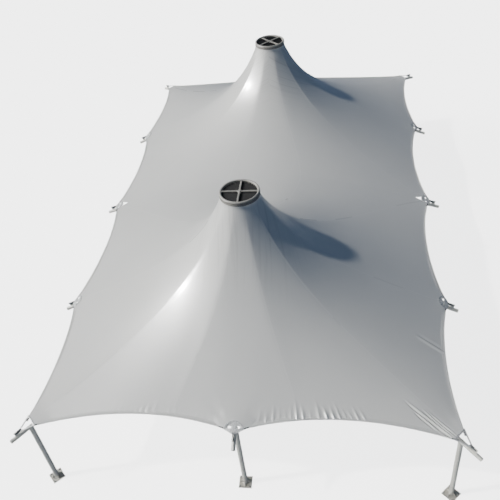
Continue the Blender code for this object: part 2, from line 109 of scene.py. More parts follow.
# %% [markdown]
# ## Camera
# The photograph looks down on the canopy from a little in front of its front edge. The camera
# was worked out from the twelve points of the edge and the two rings, so it is given as a place
# and three turns, with the lens as a focal length in pixels of the 500 pixel frame.

# %% Camera
FRAME_PIXELS = 500
FOCAL_PIXELS = 649.13
CAMERA_PLACE = Vector((2.934, -20.02, 17.498))
YAW, PITCH, ROLL = -0.1898, 0.6994, -0.1301
SENSOR_WIDTH, SIGHT_LIMIT = 36, 1000

forward = Vector((math.sin(YAW) * math.cos(PITCH), math.cos(YAW) * math.cos(PITCH), -math.sin(PITCH)))
level = Vector((math.cos(YAW), -math.sin(YAW), 0))
right = math.cos(ROLL) * level + math.sin(ROLL) * level.cross(forward)
upward = right.cross(forward)

camera_data = bpy.data.cameras.new("photo_camera")
camera_data.sensor_width = SENSOR_WIDTH
camera_data.lens = SENSOR_WIDTH * FOCAL_PIXELS / FRAME_PIXELS
camera_data.clip_end = SIGHT_LIMIT
camera = bpy.data.objects.new("photo_camera", camera_data)
turned_axes = Matrix((right, upward, -forward)).transposed().to_4x4()
camera.matrix_world = Matrix.Translation(CAMERA_PLACE) @ turned_axes
bpy.context.scene.collection.objects.link(camera)
bpy.context.scene.camera = camera
print("lens", round(camera_data.lens, 2), "mm")

# %% [markdown]
# ## Floor and light
# The photograph has a clear sun from the front left and a blue sky that fills the shade. Here a
# narrow key lamp gives the cast shadows, and a broad lamp lower on the same side stands in for
# the bright sky round the sun, which makes the left slopes lighter than the right ones. Sun
# lamps are used because they stay even over 21 metres. The gloss comes from a lamp of its own,
# turned a little, so that the highlights lie on the ridges where the photograph has them. The
# floor is kept out of the bounced light, which would wash out the shade on the cones, and a lamp
# that lights nothing else keeps it pale. A lamp from below gives the underside the light that
# such a floor would send up, and another gives it to the legs. A pale round backdrop, seen by the
# camera alone, meets the floor without a horizon.

# %% Floor
FLOOR_SIZE = 600

half = FLOOR_SIZE / 2
floor_corners = [(-half, -half, 0), (half, -half, 0), (half, half, 0), (-half, half, 0)]
floor_mesh = bpy.data.meshes.new("floor")
floor_mesh.from_pydata(floor_corners, [], [(0, 1, 2, 3)])
floor = bpy.data.objects.new("floor", floor_mesh)
bpy.context.scene.collection.objects.link(floor)
floor.visible_diffuse = floor.visible_glossy = False
floor_constants = {"Base Color": linear("#F8F8F7"), "Roughness": 0.9, "Specular IOR Level": 0.1}
floor_paint, *_ = finish("pale_floor", floor_constants)
floor_mesh.materials.append(floor_paint)
floor_alone = bpy.data.collections.new("floor_alone")
floor_alone.objects.link(floor)
print("floor:", FLOOR_SIZE, "m square")

# %% Backdrop
BACKDROP_RADIUS, BACKDROP_HEIGHT, BACKDROP_SIDES = 285, 400, 64
BACKDROP_GLOW = 4.4

# A round wall with a lid: points at the foot, then points at the top
turn = np.arange(BACKDROP_SIDES) * 2 * math.pi / BACKDROP_SIDES
foot = np.stack([BACKDROP_RADIUS * np.cos(turn), BACKDROP_RADIUS * np.sin(turn), 0 * turn], 1)
backdrop_points = np.concatenate([foot, foot + (0, 0, BACKDROP_HEIGHT)])
here = np.arange(BACKDROP_SIDES)
beside = (here + 1) % BACKDROP_SIDES
wall = np.stack([here, beside, beside + BACKDROP_SIDES, here + BACKDROP_SIDES], 1)
lid = np.arange(BACKDROP_SIDES, 2 * BACKDROP_SIDES)
backdrop_mesh = bpy.data.meshes.new("backdrop")
backdrop_mesh.from_pydata(backdrop_points.tolist(), [], [*wall.tolist(), lid.tolist()])
backdrop = bpy.data.objects.new("backdrop", backdrop_mesh)
bpy.context.scene.collection.objects.link(backdrop)
backdrop.visible_diffuse = backdrop.visible_glossy = backdrop.visible_shadow = False
backdrop_paint, *_ = finish("pale_backdrop", {
    "Base Color": (0, 0, 0, 1),
    "Specular IOR Level": 0.0,
    "Emission Color": linear("#FFFFFF"),
    "Emission Strength": BACKDROP_GLOW,
})
backdrop_mesh.materials.append(backdrop_paint)
print("backdrop:", BACKDROP_RADIUS, "m away")

# %% Lamps and sky
KEY_TURN, KEY_DESCENT = 12, 47
SKY_STRENGTH = 0.24


def sun_lamp(name, energy, disc, colour, turn, descent):
    """A sun lamp: its light travels at this turn from +X and falls at this angle, in degrees."""
    data = bpy.data.lights.new(name, "SUN")
    data.energy, data.angle, data.color = energy, math.radians(disc), colour
    lamp = bpy.data.objects.new(name, data)
    turn, descent = math.radians(turn), math.radians(descent)
    level_part = math.cos(descent)
    travel = Vector((level_part * math.cos(turn), level_part * math.sin(turn), -math.sin(descent)))
    lamp.rotation_euler = travel.to_track_quat("-Z", "Y").to_euler()
    bpy.context.scene.collection.objects.link(lamp)
    return lamp


key = sun_lamp("key", 2.7, 2.5, (1.0, 0.975, 0.935), KEY_TURN, KEY_DESCENT)
side_glow = sun_lamp("side_glow", 6.0, 40, (1.0, 0.985, 0.96), turn=2, descent=15)
gloss = sun_lamp("gloss", 17.0, 3.0, (1.0, 0.99, 0.97), turn=0, descent=34)
wash = sun_lamp("floor_wash", 16.0, 3.5, (1.0, 1.0, 1.0), KEY_TURN, KEY_DESCENT)
bounce = sun_lamp("bounce", 1.3, 60, (1.0, 0.99, 0.98), turn=0, descent=-89)
leg_fill = sun_lamp("leg_fill", 1.6, 60, (1.0, 1.0, 0.99), turn=80, descent=10)
key.visible_glossy = side_glow.visible_glossy = False
gloss.visible_diffuse = False
wash.data.use_shadow = bounce.data.use_shadow = leg_fill.data.use_shadow = False
wash.light_linking.receiver_collection = floor_alone
steel_alone = bpy.data.collections.new("steel_alone")
leg_fill.light_linking.receiver_collection = steel_alone

sky = bpy.data.worlds.new("soft_sky")
sky.use_nodes = True
feed(sky.node_tree.nodes["Background"], {"Color": linear("#A9C6F2"), "Strength": SKY_STRENGTH})
bpy.context.scene.world = sky
print("lamps:", len(bpy.data.lights))

# %% [markdown]
# ## The shape of the cloth
# A membrane takes the one shape in which every thread's pull is in balance. A net of straight
# links stands in for the cloth: each link pulls with a force proportional to its length, so the
# balance is a linear system. Its columns run from the ring to the edge and its rows go round
# the mast. Only a quarter is worked out, because the plan is symmetric about both axes. The
# balance round the mast splits into standing waves, and each wave dies away from the ring and
# from the edge as a hyperbolic sine, so the whole surface follows from its edge line. That is
# quicker than relaxing the net by simulation, and gives a point anywhere on the cloth.

# %% The fixed points and the net's columns
HALF_WIDTH, HALF_LENGTH = 6.0, 10.33
SIDE_POINT_Y, SIDE_POINT_BULGE, SIDE_MIDDLE_BULGE = 5.35, 0.05, 0.03
EDGE_HEIGHT, END_MIDDLE_RISE = 2.7, 0.2
MAST_Y, CONE_RISE, RING_RADIUS = 5.18, 4.15, 0.555
RING_HEIGHT = EDGE_HEIGHT + CONE_RISE
HOOP_PULL = 2.35

CORNERS = np.array([
    [0, -HALF_LENGTH, EDGE_HEIGHT + END_MIDDLE_RISE],
    [HALF_WIDTH, -HALF_LENGTH, EDGE_HEIGHT],
    [HALF_WIDTH + SIDE_POINT_BULGE, -SIDE_POINT_Y, EDGE_HEIGHT],
    [HALF_WIDTH + SIDE_MIDDLE_BULGE, 0, EDGE_HEIGHT],
])
SECTOR_TURNS = np.append(np.arctan2(CORNERS[:, 1] + MAST_Y, CORNERS[:, 0]), math.pi / 2)
print("fixed points of a quarter:", len(CORNERS), " ring height:", round(RING_HEIGHT, 3), "m")

# %% Balance of the net
def strip_matrices(turns):
    """Width of the strip that each column stands for, and the balance matrix round the mast."""
    step = np.diff(turns)
    link = np.diff(np.eye(len(turns)), axis=0)
    width = (np.append(step, 0) + np.append(0, step)) / 2
    return step, link, width, link.T @ (link / step[:, None])


def solve_net(turns, starts, rows, pulls):
    """Standing waves of the net and their size on the ring and on the edge, for x, y and z.

    Column forces weigh width * rows, hoop forces HOOP_PULL^2 / rows, and an edge link adds its
    sector's pull. A wave of eigenvalue e decays as sinh(m * v), with
    cosh(m / rows) = 1 + HOOP_PULL^2 * e / (2 * rows^2).
    """
    step, link, width, hoop = strip_matrices(turns)
    count = len(turns)
    edge_pull = np.concatenate([np.full(starts[s + 1] - starts[s], pulls[s]) for s in range(4)])
    cable = link.T @ (link * (edge_pull / step)[:, None])
    ring = np.stack([
        RING_RADIUS * np.cos(turns),
        RING_RADIUS * np.sin(turns) - MAST_Y,
        np.full(count, RING_HEIGHT),
    ], 1)
    waves = []
    for axis in range(3):
        # The two planes of symmetry hold x at nought on the first and the last column
        kept = np.arange(1, count - 1) if axis == 0 else np.arange(count)
        root = np.sqrt(width[kept])
        square = np.ix_(kept, kept)
        values, vectors = np.linalg.eigh(hoop[square] / root / root[:, None])
        # An even wave has an eigenvalue of nought, which is kept just above it to divide by
        values = np.maximum(values, 1e-9)
        decay = rows * np.arccosh(1 + HOOP_PULL**2 * values / 2 / rows**2)
        shapes = vectors / root[:, None]
        sizes = shapes.T * width[kept]
        near = sinh_share(decay, 1 / rows)
        far = sinh_share(decay, 1 - 1 / rows)
        stiffness = (sizes.T * rows * (1 - far)) @ sizes + HOOP_PULL**2 / 2 / rows * hoop[square]
        stiffness += cable[square]
        load = (sizes.T * rows * near) @ sizes @ ring[kept, axis]
        known = np.zeros(count)
        held = np.zeros(count, bool)
        known[starts[:4]], held[starts[:4]] = CORNERS[:, axis], True
        held[starts[3]:] |= axis == 1
        known, held = known[kept], held[kept]
        free = ~held
        edge = known.copy()
        rest = load[free] - stiffness[np.ix_(free, held)] @ known[held]
        edge[free] = np.linalg.solve(stiffness[np.ix_(free, free)], rest)
        waves.append((kept, shapes, decay, sizes @ ring[kept, axis], sizes @ edge))
    return waves


def sinh_share(decay, part):
    """sinh(decay * part) / sinh(decay), written so that large decays don't overflow."""
    return np.exp(-decay * (1 - part)) * (1 - np.exp(-2 * decay * part)) / (1 - np.exp(-2 * decay))


def net_points(waves, parts):
    """Points of the net: parts gives, for each column, how far down from ring to edge they lie."""
    points = np.zeros((*parts.shape, 3))
    for axis, (kept, shapes, decay, top, low) in enumerate(waves):
        down = parts[kept][:, :, None]
        size = top * sinh_share(decay, 1 - down) + low * sinh_share(decay, down)
        points[kept, :, axis] = np.einsum("cw,crw->cr", shapes, size)
    return points


print("half way down, a wave of decay 1 keeps", round(float(sinh_share(1.0, 0.5)), 3))

# %% [markdown]
# The CAD model used a coarse net of 29 columns and 11 rows. It is solved again here, because the
# steel plates and post arms lie in line with it. The cloth itself takes about sixteen times as
# many columns. They are closest between the middle of the front and its right corner, where the
# photograph shows folds.

# %% The coarse net of the CAD and the fine net of the cloth
CAD_STEPS, CAD_PLATE_SHARE, CAD_ROWS = (6, 5, 5, 5), (0.058, 0.07, 0.068, 0.034), 11
FINE_STEPS, FINE_ROWS = (288, 96, 32, 36), 112
CABLE_PULLS = np.array([1.6, 2.0, 2.0, 0.0])
VALLEY_SLACK = 0.1
# Half a strip of cloth helps the coarse edge more than the fine one, and the valley needs less
EDGE_HELP = HOOP_PULL**2 / 2 * (1 / CAD_ROWS - 1 / FINE_ROWS) - np.array([0, 0, 0, VALLEY_SLACK])

cad_turns, cad_starts = [SECTOR_TURNS[:1]], [0]
for sector, (steps, share) in enumerate(zip(CAD_STEPS, CAD_PLATE_SHARE)):
    # The last sector ends at the valley, where no plate holds the net
    inner = np.linspace(share, 1 - share, steps + 1) if sector < 3 else np.linspace(share, 1, steps + 1)[:-1]
    cad_turns.append(SECTOR_TURNS[sector] + np.append(inner, 1) * np.diff(SECTOR_TURNS)[sector])
    cad_starts.append(cad_starts[-1] + len(inner) + 1)
cad_net = net_points(
    solve_net(np.concatenate(cad_turns), cad_starts, CAD_ROWS, CABLE_PULLS),
    np.tile(np.linspace(0, 1, CAD_ROWS + 1), (cad_starts[-1] + 1, 1)),
)
fine_turns = np.concatenate([
    SECTOR_TURNS[:1],
    *(np.linspace(SECTOR_TURNS[s], SECTOR_TURNS[s + 1], FINE_STEPS[s] + 1)[1:] for s in range(4)),
])
fine_starts = np.cumsum([0, *FINE_STEPS])
fine_waves = solve_net(fine_turns, fine_starts, FINE_ROWS, CABLE_PULLS + EDGE_HELP)
fine_net = net_points(fine_waves, np.tile(np.linspace(0, 1, FINE_ROWS + 1), (len(fine_turns), 1)))
print("valley middle, CAD and cloth:", cad_net[-1, -1].round(3), fine_net[-1, -1].round(3))

# %% [markdown]
# ## Tools for surfaces
# Every new piece is a grid of points worked out as whole arrays, with four-cornered faces between
# neighbours. A profile turned round an axis, a section carried along a path and an outline given
# a thickness cover nearly all the steelwork. Points that meet are welded into one, and a closed
# piece then has its faces turned outwards.

# %% Grids, and shapes put together
def grid_faces(rows, columns, close_rows=False, close_columns=False):
    """Faces between neighbouring points of a grid, wrapped round where it closes."""
    row_steps = np.arange(rows - (not close_rows))
    column_steps = np.arange(columns - (not close_columns))
    row, column = np.meshgrid(row_steps, column_steps, indexing="ij")
    here, below = row * columns, (row + 1) % rows * columns
    beside = (column + 1) % columns
    return np.stack([here + column, below + column, below + beside, here + beside], -1).reshape(-1, 4)


def joined(shapes):
    """Several (points, faces) shapes as one."""
    starts = np.cumsum([0, *(len(points) for points, _ in shapes)])
    faces = []
    for (_, group), start in zip(shapes, starts):
        faces += [(np.asarray(face) + start).tolist() for face in group]
    return np.concatenate([points for points, _ in shapes]), faces


def copied(shape, frames):
    """The shape once in each frame, an array of (rotation columns, origin) as n x 3 x 4."""
    points, faces = shape
    turned_points = np.einsum("fij,pj->fpi", frames[:, :, :3], points) + frames[:, None, :, 3]
    return joined([(group, faces) for group in turned_points])


def placed(shape, spots):
    """The shape at each (x, y, z) spot, unturned."""
    return joined([(shape[0] + spot, shape[1]) for spot in spots])


def mirrored(shape, flip_x, flip_y):
    """The shape with its x and its y multiplied by these signs."""
    return shape[0] * (flip_x, flip_y, 1), shape[1]


def along_x(shape):
    """A shape made along Z, laid along X: (x, y, z) becomes (z, x, y)."""
    return shape[0][:, [2, 0, 1]], shape[1]


print("faces of a 3 x 3 grid:", len(grid_faces(3, 3)))

# %% Outlines, and shapes made from them
def circle(radius, sides):
    """Points (r cos t, r sin t) for even steps of t."""
    turn = np.arange(sides) * 2 * math.pi / sides
    return radius * np.stack([np.cos(turn), np.sin(turn)], 1)


def rounded_rectangle(x0, x1, y0, y1, edge):
    """A closed loop round a rectangle with quarter-circle corners of the edge radius."""
    turn = np.radians(np.array([180, 225, 270, 270, 315, 360, 0, 45, 90, 90, 135, 180]))
    centre_x = np.repeat([x0 + edge, x1 - edge, x1 - edge, x0 + edge], 3)
    centre_y = np.repeat([y0 + edge, y0 + edge, y1 - edge, y1 - edge], 3)
    return np.stack([centre_x + edge * np.cos(turn), centre_y + edge * np.sin(turn)], 1)


def turned(profile, sides, closed=False):
    """A profile of (radius, height) turned round Z: (r cos t, r sin t, h)."""
    profile = np.asarray(profile, float)
    level_part = profile[:, None, :1] * circle(1, sides)[None]
    height = np.broadcast_to(profile[:, None, 1:], (len(profile), sides, 1))
    points = np.concatenate([level_part, height], 2).reshape(-1, 3)
    return points, grid_faces(len(profile), sides, close_rows=closed, close_columns=True).tolist()


def rod(radius, low, high, sides):
    """A round bar along Z between two heights."""
    return turned([(0, low), (radius, low), (radius, high), (0, high)], sides)


def swept(centres, across, upward, section):
    """A closed section carried along a path: centre + a * across + b * upward for its (a, b)."""
    section = np.asarray(section, float)
    if section.ndim == 2:
        section = np.broadcast_to(section, (len(centres), *section.shape))
    rings = centres[:, None] + section[..., :1] * across[:, None] + section[..., 1:] * upward[:, None]
    count, sides = rings.shape[:2]
    faces = grid_faces(count, sides, close_columns=True).tolist()
    faces += [list(range(sides)), list(range((count - 1) * sides, count * sides))]
    return rings.reshape(-1, 3), faces


def slab(outline, low, high, edge):
    """An outline in the XY plane given a thickness, its rims rounded off by the edge width."""
    outline = np.asarray(outline, float)
    centre = outline.mean(0)
    size = np.linalg.norm(outline - centre, axis=1, keepdims=True)
    inset = outline - (outline - centre) / size * edge
    levels = [(inset, low), (outline, low + edge), (outline, high - edge), (inset, high)]
    points = np.concatenate([np.column_stack([loop, np.full(len(loop), level)]) for loop, level in levels])
    count = len(outline)
    faces = grid_faces(4, count, close_columns=True).tolist()
    faces += [list(range(count)), list(range(3 * count, 4 * count))]
    return points, faces


print("points of a round bar:", len(rod(0.01, 0, 1, 12)[0]))

# %% Finished pieces
def piece(name, shapes, paint, replaced=(), sharp=35):
    """A finished piece: welded, turned outwards, smooth below the sharp angle, riding on root."""
    points, faces = joined(shapes)
    _, first, same = np.unique(points.round(6), axis=0, return_index=True, return_inverse=True)
    kept = [list(dict.fromkeys(same[face].ravel().tolist())) for face in faces]
    mesh = bpy.data.meshes.new(name)
    mesh.from_pydata(points[first].tolist(), [], [face for face in kept if len(face) > 2])
    shape = bmesh.new()
    shape.from_mesh(mesh)
    bmesh.ops.recalc_face_normals(shape, faces=shape.faces)
    shape.to_mesh(mesh)
    shape.free()
    mesh.shade_smooth()
    mesh.set_sharp_from_angle(angle=math.radians(sharp))
    mesh.materials.append(paint)
    made = bpy.data.objects.new(name, mesh)
    bpy.context.scene.collection.objects.link(made)
    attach(made, "root")
    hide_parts(*replaced)
    return made


print("tools for surfaces ready")

# %% [markdown]
# ## The coated cloth
# The real cloth is white polyester coated with PVC and lacquered, which gives a satin surface
# with a clear, small highlight. Welded seams run down it from the ring, a slightly raised and
# glossier strip where two widths overlap. Rain leaves faint grey runs below the ring. Its threads
# lie under a millimetre apart and can't show from here, so they are drawn four times as coarse.

# %% Cloth material
SEAM_WIDTH, SEAM_BLUR = 0.050, 0.012
HEM_WIDTH, HEM_BLUR = 0.085, 0.006
RUN_START, RUN_LENGTH = 0.1, 3.5
STRIP_RAISE, THREAD_RAISE = 0.0005, 0.0003
# A wave texture repeats every 2 pi / 20 of its unit, so this one draws threads 3.8 mm apart
WEAVE_UNIT = 0.012


def cloth_material(name, base, shade):
    """PVC-coated polyester. Attributes give the distance in metres to the seam, hem and ring."""
    lacquer = {"Coat Weight": 0.5, "Coat Roughness": 0.20, "Coat IOR": 1.5, "Specular IOR Level": 0.5}
    made, tree, shader = finish(name, lacquer)
    place = node(tree, "ShaderNodeTexCoord", {}).outputs["Object"]
    woven = node(tree, "ShaderNodeUVMap", {}, uv_map="cloth_metres").outputs["UV"]
    seam = node(tree, "ShaderNodeAttribute", {}, attribute_name="seam_distance").outputs["Fac"]
    hem = node(tree, "ShaderNodeAttribute", {}, attribute_name="edge_distance").outputs["Fac"]
    ring = node(tree, "ShaderNodeAttribute", {}, attribute_name="ring_distance").outputs["Fac"]

    def band(distance, width, blur):
        """1 nearer than width, falling to 0 over the blur."""
        feeds = {"Value": distance, "From Min": width, "From Max": width + blur, "To Min": 1.0, "To Max": 0.0}
        return node(tree, "ShaderNodeMapRange", feeds, interpolation_type="SMOOTHSTEP").outputs["Result"]

    seam_strip = band(seam, SEAM_WIDTH / 2, SEAM_BLUR)
    hem_strip = band(hem, HEM_WIDTH, HEM_BLUR)
    strips = node(tree, "ShaderNodeMath", {0: seam_strip, 1: hem_strip}, operation="MAXIMUM").outputs["Value"]
    beside = {0: band(seam, SEAM_WIDTH / 2 + SEAM_BLUR, SEAM_BLUR), 1: seam_strip}
    seam_line = node(tree, "ShaderNodeMath", beside, operation="SUBTRACT").outputs["Value"]
    strip_share = node(tree, "ShaderNodeMath", {0: strips, 1: 0.18}, operation="MULTIPLY").outputs["Value"]
    line_share = node(tree, "ShaderNodeMath", {0: seam_line, 1: 0.07}, operation="MULTIPLY").outputs["Value"]

    # The coat is uneven in patches about 2.2 m across, and rain runs are about 110 mm wide and
    # 2.9 m long, stretched down from the ring
    broad = node(tree, "ShaderNodeTexNoise", {"Vector": place, "Scale": 0.45, "Detail": 3.0}).outputs["Fac"]
    long_way = node(tree, "ShaderNodeMapping", {"Vector": woven, "Scale": (9.0, 0.35, 1.0)}).outputs["Vector"]
    run_feeds = {"Vector": long_way, "Scale": 1.0, "Detail": 4.0, "Roughness": 0.6}
    runs = node(tree, "ShaderNodeTexNoise", run_feeds).outputs["Fac"]
    mark_feeds = {"Value": runs, "From Min": 0.50, "From Max": 0.78, "To Max": 0.55}
    run_mark = node(tree, "ShaderNodeMapRange", mark_feeds).outputs["Result"]
    dirt_feeds = {0: run_mark, 1: band(ring, RUN_START, RUN_LENGTH)}
    dirt = node(tree, "ShaderNodeMath", dirt_feeds, operation="MULTIPLY").outputs["Value"]
    mottle_feeds = {"Value": broad, "From Min": 0.3, "From Max": 0.7, "To Max": 0.5}
    mottle = node(tree, "ShaderNodeMapRange", mottle_feeds).outputs["Result"]

    # Each layer lies over the last: mottling, rain runs, lighter strips, a thin line beside seams
    layers = [(mottle, shade), (dirt, "#8F8F88"), (strip_share, "#D6D6D3"), (line_share, "#8C8C89")]
    colour = linear(base)
    for share, tone in layers:
        layer = {SHARE: share, FIRST: colour, SECOND: linear(tone)}
        colour = node(tree, "ShaderNodeMix", layer, data_type="RGBA").outputs[MIXED]

    rough_feeds = {"Value": broad, "From Min": 0.3, "From Max": 0.7, "To Min": 0.32, "To Max": 0.41}
    rough = node(tree, "ShaderNodeMapRange", rough_feeds).outputs["Result"]
    polish = node(tree, "ShaderNodeMath", {0: strips, 1: 0.07}, operation="MULTIPLY").outputs["Value"]
    rough = node(tree, "ShaderNodeMath", {0: rough, 1: polish}, operation="SUBTRACT").outputs["Value"]

    thread_feeds = {"Vector": woven, "Scale": 1 / WEAVE_UNIT, "Distortion": 0.3}
    warp = node(tree, "ShaderNodeTexWave", thread_feeds, bands_direction="X").outputs["Fac"]
    weft = node(tree, "ShaderNodeTexWave", thread_feeds, bands_direction="Y").outputs["Fac"]
    threads = node(tree, "ShaderNodeMath", {0: warp, 1: weft}, operation="ADD").outputs["Value"]
    weave = node(tree, "ShaderNodeMath", {0: threads, 1: THREAD_RAISE}, operation="MULTIPLY").outputs["Value"]
    raised = node(tree, "ShaderNodeMath", {0: strips, 1: STRIP_RAISE}, operation="MULTIPLY").outputs["Value"]
    height = node(tree, "ShaderNodeMath", {0: weave, 1: raised}, operation="ADD").outputs["Value"]
    relief = {"Height": height, "Distance": 1.0, "Strength": 0.8}
    bump = node(tree, "ShaderNodeBump", relief).outputs["Normal"]
    feed(shader, {"Base Color": colour, "Roughness": rough, "Normal": bump})
    return made


coated_cloth = cloth_material("pvc_coated_polyester", "#C9C9C5", "#C0C1BE")
print("cloth material:", len(coated_cloth.node_tree.nodes), "nodes")

# %% [markdown]
# ## Frames at the fixed points
# A steel plate at each fixed point lies in line with the cloth's pull. Its frame has x along the
# edge, y outwards and z up through the plate. The CAD worked it out from the coarse net, so the
# same rule is used here, and the fork and the arm under it line up with the CAD post.

# %% Plate frames of the quarter
CORNER_REACH, MIDDLE_REACH = 0.34, 0.20
MIRROR_X, MIRROR_Y = np.array([-1, 1, 1]), np.array([1, -1, 1])


def along_column(column, distance):
    """The point of a net column this far up from its edge end."""
    back = column[::-1]
    travelled = np.append(0, np.cumsum(np.linalg.norm(np.diff(back, axis=0), axis=1)))
    return np.array([np.interp(distance, travelled, back[:, axis]) for axis in range(3)])


def unit(vector):
    """The vector, or each of an array of them, at length 1."""
    return vector / np.linalg.norm(vector, axis=-1, keepdims=True)


def plate_frame(point, first, last, inner):
    """Columns side, out and up: out runs from the inner point, up is square to the edge."""
    out = unit(point - inner)
    up = unit(np.cross(out, last - first))
    up = up if up[2] > 0 else -up
    return np.stack([np.cross(out, up), out, up], 1)


cad_edge = cad_net[:, -1]
_, corner, side, middle, _ = cad_starts
end_inner = along_column(cad_net[0], MIDDLE_REACH)
corner_inner = along_column(cad_net[corner], CORNER_REACH)
side_inner = along_column(cad_net[side], MIDDLE_REACH)
before_middle = cad_edge[middle - 1]
plate_frames = [
    plate_frame(cad_edge[0], cad_edge[1] * MIRROR_X, cad_edge[1], end_inner),
    plate_frame(cad_edge[corner], cad_edge[corner - 1], cad_edge[corner + 1], corner_inner),
    plate_frame(cad_edge[side], cad_edge[side - 1], cad_edge[side + 1], side_inner),
    plate_frame(cad_edge[middle], before_middle, before_middle * MIRROR_Y, cad_edge[middle + 1]),
]
print("pull falls outward by", [round(math.degrees(math.asin(-f[2, 1])), 1) for f in plate_frames], "degrees")

# %% [markdown]
# ## The cloth as one sheet
# The cloth stops short of each fixed point, where the plate's rim clamps it: on a straight bar at
# the corners and on an arc elsewhere. Each column of the net is therefore cut at its own length,
# and the last stretch is eased into the plate's plane. At the ring the cloth turns up and is
# clamped round the collar. The four quarters are one array with mirrored signs, welded where
# they meet, so no seam of separate meshes can open.

# %% Cut the net at the plates and the rings
CLAMP_ARC, CLAMP_BAR = 0.245, 0.295
CLAMP_LIFT = 0.0095
WEDGE_REACH, FAR_AWAY = 0.9, 9.0
EASE_LENGTH, EASE_REACH = 0.5, 1.2
CLOTH_ROWS, ROW_SPREAD = 95, 0.6
fine_edge = fine_net[:, -1]


def smooth_step(value):
    """Rises from 0 to 1 with the value, level at both ends: v * v * (3 - 2 * v)."""
    value = np.clip(value, 0, 1)
    return value * value * (3 - 2 * value)


def plate_distance(points, which):
    """How far points lie inside the clamp line of a plate, and their place in its frame."""
    local = (points - CORNERS[which]) @ plate_frames[which]
    reach = np.hypot(local[..., 0], local[..., 1])
    if which == 1:
        # Only the wedge near the corner counts, so the bar is a straight line across it
        return np.where(reach > WEDGE_REACH, FAR_AWAY, -local[..., 1] - CLAMP_BAR), local
    return reach - CLAMP_ARC, local


cut = np.ones(len(fine_turns))
for which in range(4):
    gap, _ = plate_distance(fine_net, which)
    inside = gap[:, -1] < 0
    row = (gap < 0).argmax(1)
    here, there = gap[np.arange(len(gap)), row], gap[np.arange(len(gap)), row - 1]
    crossing = (row - here / (here - there)) / FINE_ROWS
    cut = np.where(inside, crossing, cut)
# Rows lie four times as close at the edge as at the ring, for the sake of the folds there
levels = np.linspace(0, 1, CLOTH_ROWS + 1)
levels = levels * (1 + ROW_SPREAD - ROW_SPREAD * levels)
sheet = net_points(fine_waves, levels[None, :] * cut[:, None])
for which in range(4):
    gap, local = plate_distance(sheet, which)
    near = np.hypot(local[..., 0], local[..., 1]) < EASE_REACH
    lift = (local[..., 2] - CLAMP_LIFT) * (1 - smooth_step(gap / EASE_LENGTH)) * near
    sheet -= lift[..., None] * plate_frames[which][:, 2]
print("columns cut at plates:", int((cut < 1).sum()))

# %% Flatten the gores
GORE_FLATNESS, RIDGE_ROUNDING = 0.75, 3.4
FLAT_START, FLAT_RISE, FADE_START, FADE_LENGTH = 0.6, 0.25, 1.2, 2.6
COLLAR_RADIUS, COLLAR_TOP = 0.580, RING_HEIGHT + 0.062

# Seams run to the corner, the side point and the side middle, and two more divide each end of
# a cone's cloth into three widths
seam_columns = np.array([fine_starts[1] // 3, *fine_starts[1:4], fine_starts[3] + FINE_STEPS[3] * 2 // 3])
seam_turns = fine_turns[seam_columns]
every_seam = np.concatenate([[-math.pi - seam_turns[0]], seam_turns, [math.pi - seam_turns[-1]]])
gore = np.clip(np.searchsorted(every_seam, fine_turns) - 1, 0, len(every_seam) - 2)
half_gore = (every_seam[gore + 1] - every_seam[gore]) / 2
from_seam = np.abs(fine_turns[:, None] - every_seam).min(1)
# A flat gore between ridges: radius * cos(half) / cos(turn from its middle), ridges rounded
from_middle = half_gore - np.hypot(from_seam, math.radians(RIDGE_ROUNDING))
flattened = np.cos(half_gore) / np.cos(from_middle) - 1 + half_gore**2 / 3
from_mast = sheet - (0, -MAST_Y, 0)
radius = np.hypot(from_mast[..., 0], from_mast[..., 1])
share = GORE_FLATNESS * smooth_step((radius - FLAT_START) / FLAT_RISE)
share = share * (1 - smooth_step((radius - FADE_START) / FADE_LENGTH))
grown = np.maximum(radius * (1 + share * flattened[:, None]), COLLAR_RADIUS) / radius
sheet[..., :2] = from_mast[..., :2] * grown[..., None] + (0, -MAST_Y)
sheet[:, 0, 2] = COLLAR_TOP
print("gores in a cone:", 2 * len(seam_columns))

# %% Distances on the cloth
down = np.linalg.norm(np.diff(sheet, axis=1), axis=2)
ring_distance = np.concatenate([np.zeros((len(sheet), 1)), np.cumsum(down, 1)], 1)
edge_distance = ring_distance[:, -1:] - ring_distance
round_step = np.linalg.norm(np.diff(sheet, axis=0), axis=2)
round_distance = np.concatenate([np.zeros((1, sheet.shape[1])), np.cumsum(round_step, 0)])
seam_distance = np.abs(round_distance[:, None] - round_distance[seam_columns][None]).min(1)
# The valley line is where two halves of the cloth meet, not a hem
rim_distance = edge_distance.copy()
rim_distance[fine_starts[3] + 1 :] = FAR_AWAY
print("ring to edge:", ring_distance[:, -1].min().round(2), "to", ring_distance[:, -1].max().round(2), "m")

# %% [markdown]
# Folds are moved points, not shading, so they catch the light from any side. Where the front
# edge cable lets the cloth slacken, short puckers stand across the hem, about 180 mm apart. Five
# fine creases run into the front right corner, and one fold leans into the right edge. Shallow
# tension waves fan out from every plate, and the cloth is a little flatter along each seam.

# %% Folds
# Start and end in plan, width of the line and height, all in metres
CREASES = [
    ((4.48, -9.30), (5.64, -10.24), 0.034, -0.034),
    ((4.94, -9.52), (5.62, -10.17), 0.030, -0.026),
    ((4.72, -9.60), (5.16, -9.97), 0.030, -0.026),
    ((5.06, -9.57), (5.68, -10.12), 0.028, -0.020),
    ((5.20, -9.92), (5.62, -10.26), 0.026, -0.018),
    ((4.95, -7.03), (5.85, -7.46), 0.070, 0.036),
]
CREASE_PARTING, CREASE_SHARPNESS, GROOVE_SHARE = 0.6, 2.2, 0.85
PUCKER_HEIGHT, PUCKER_PITCH, PUCKER_LEAN = 0.042, 0.18, 8.0
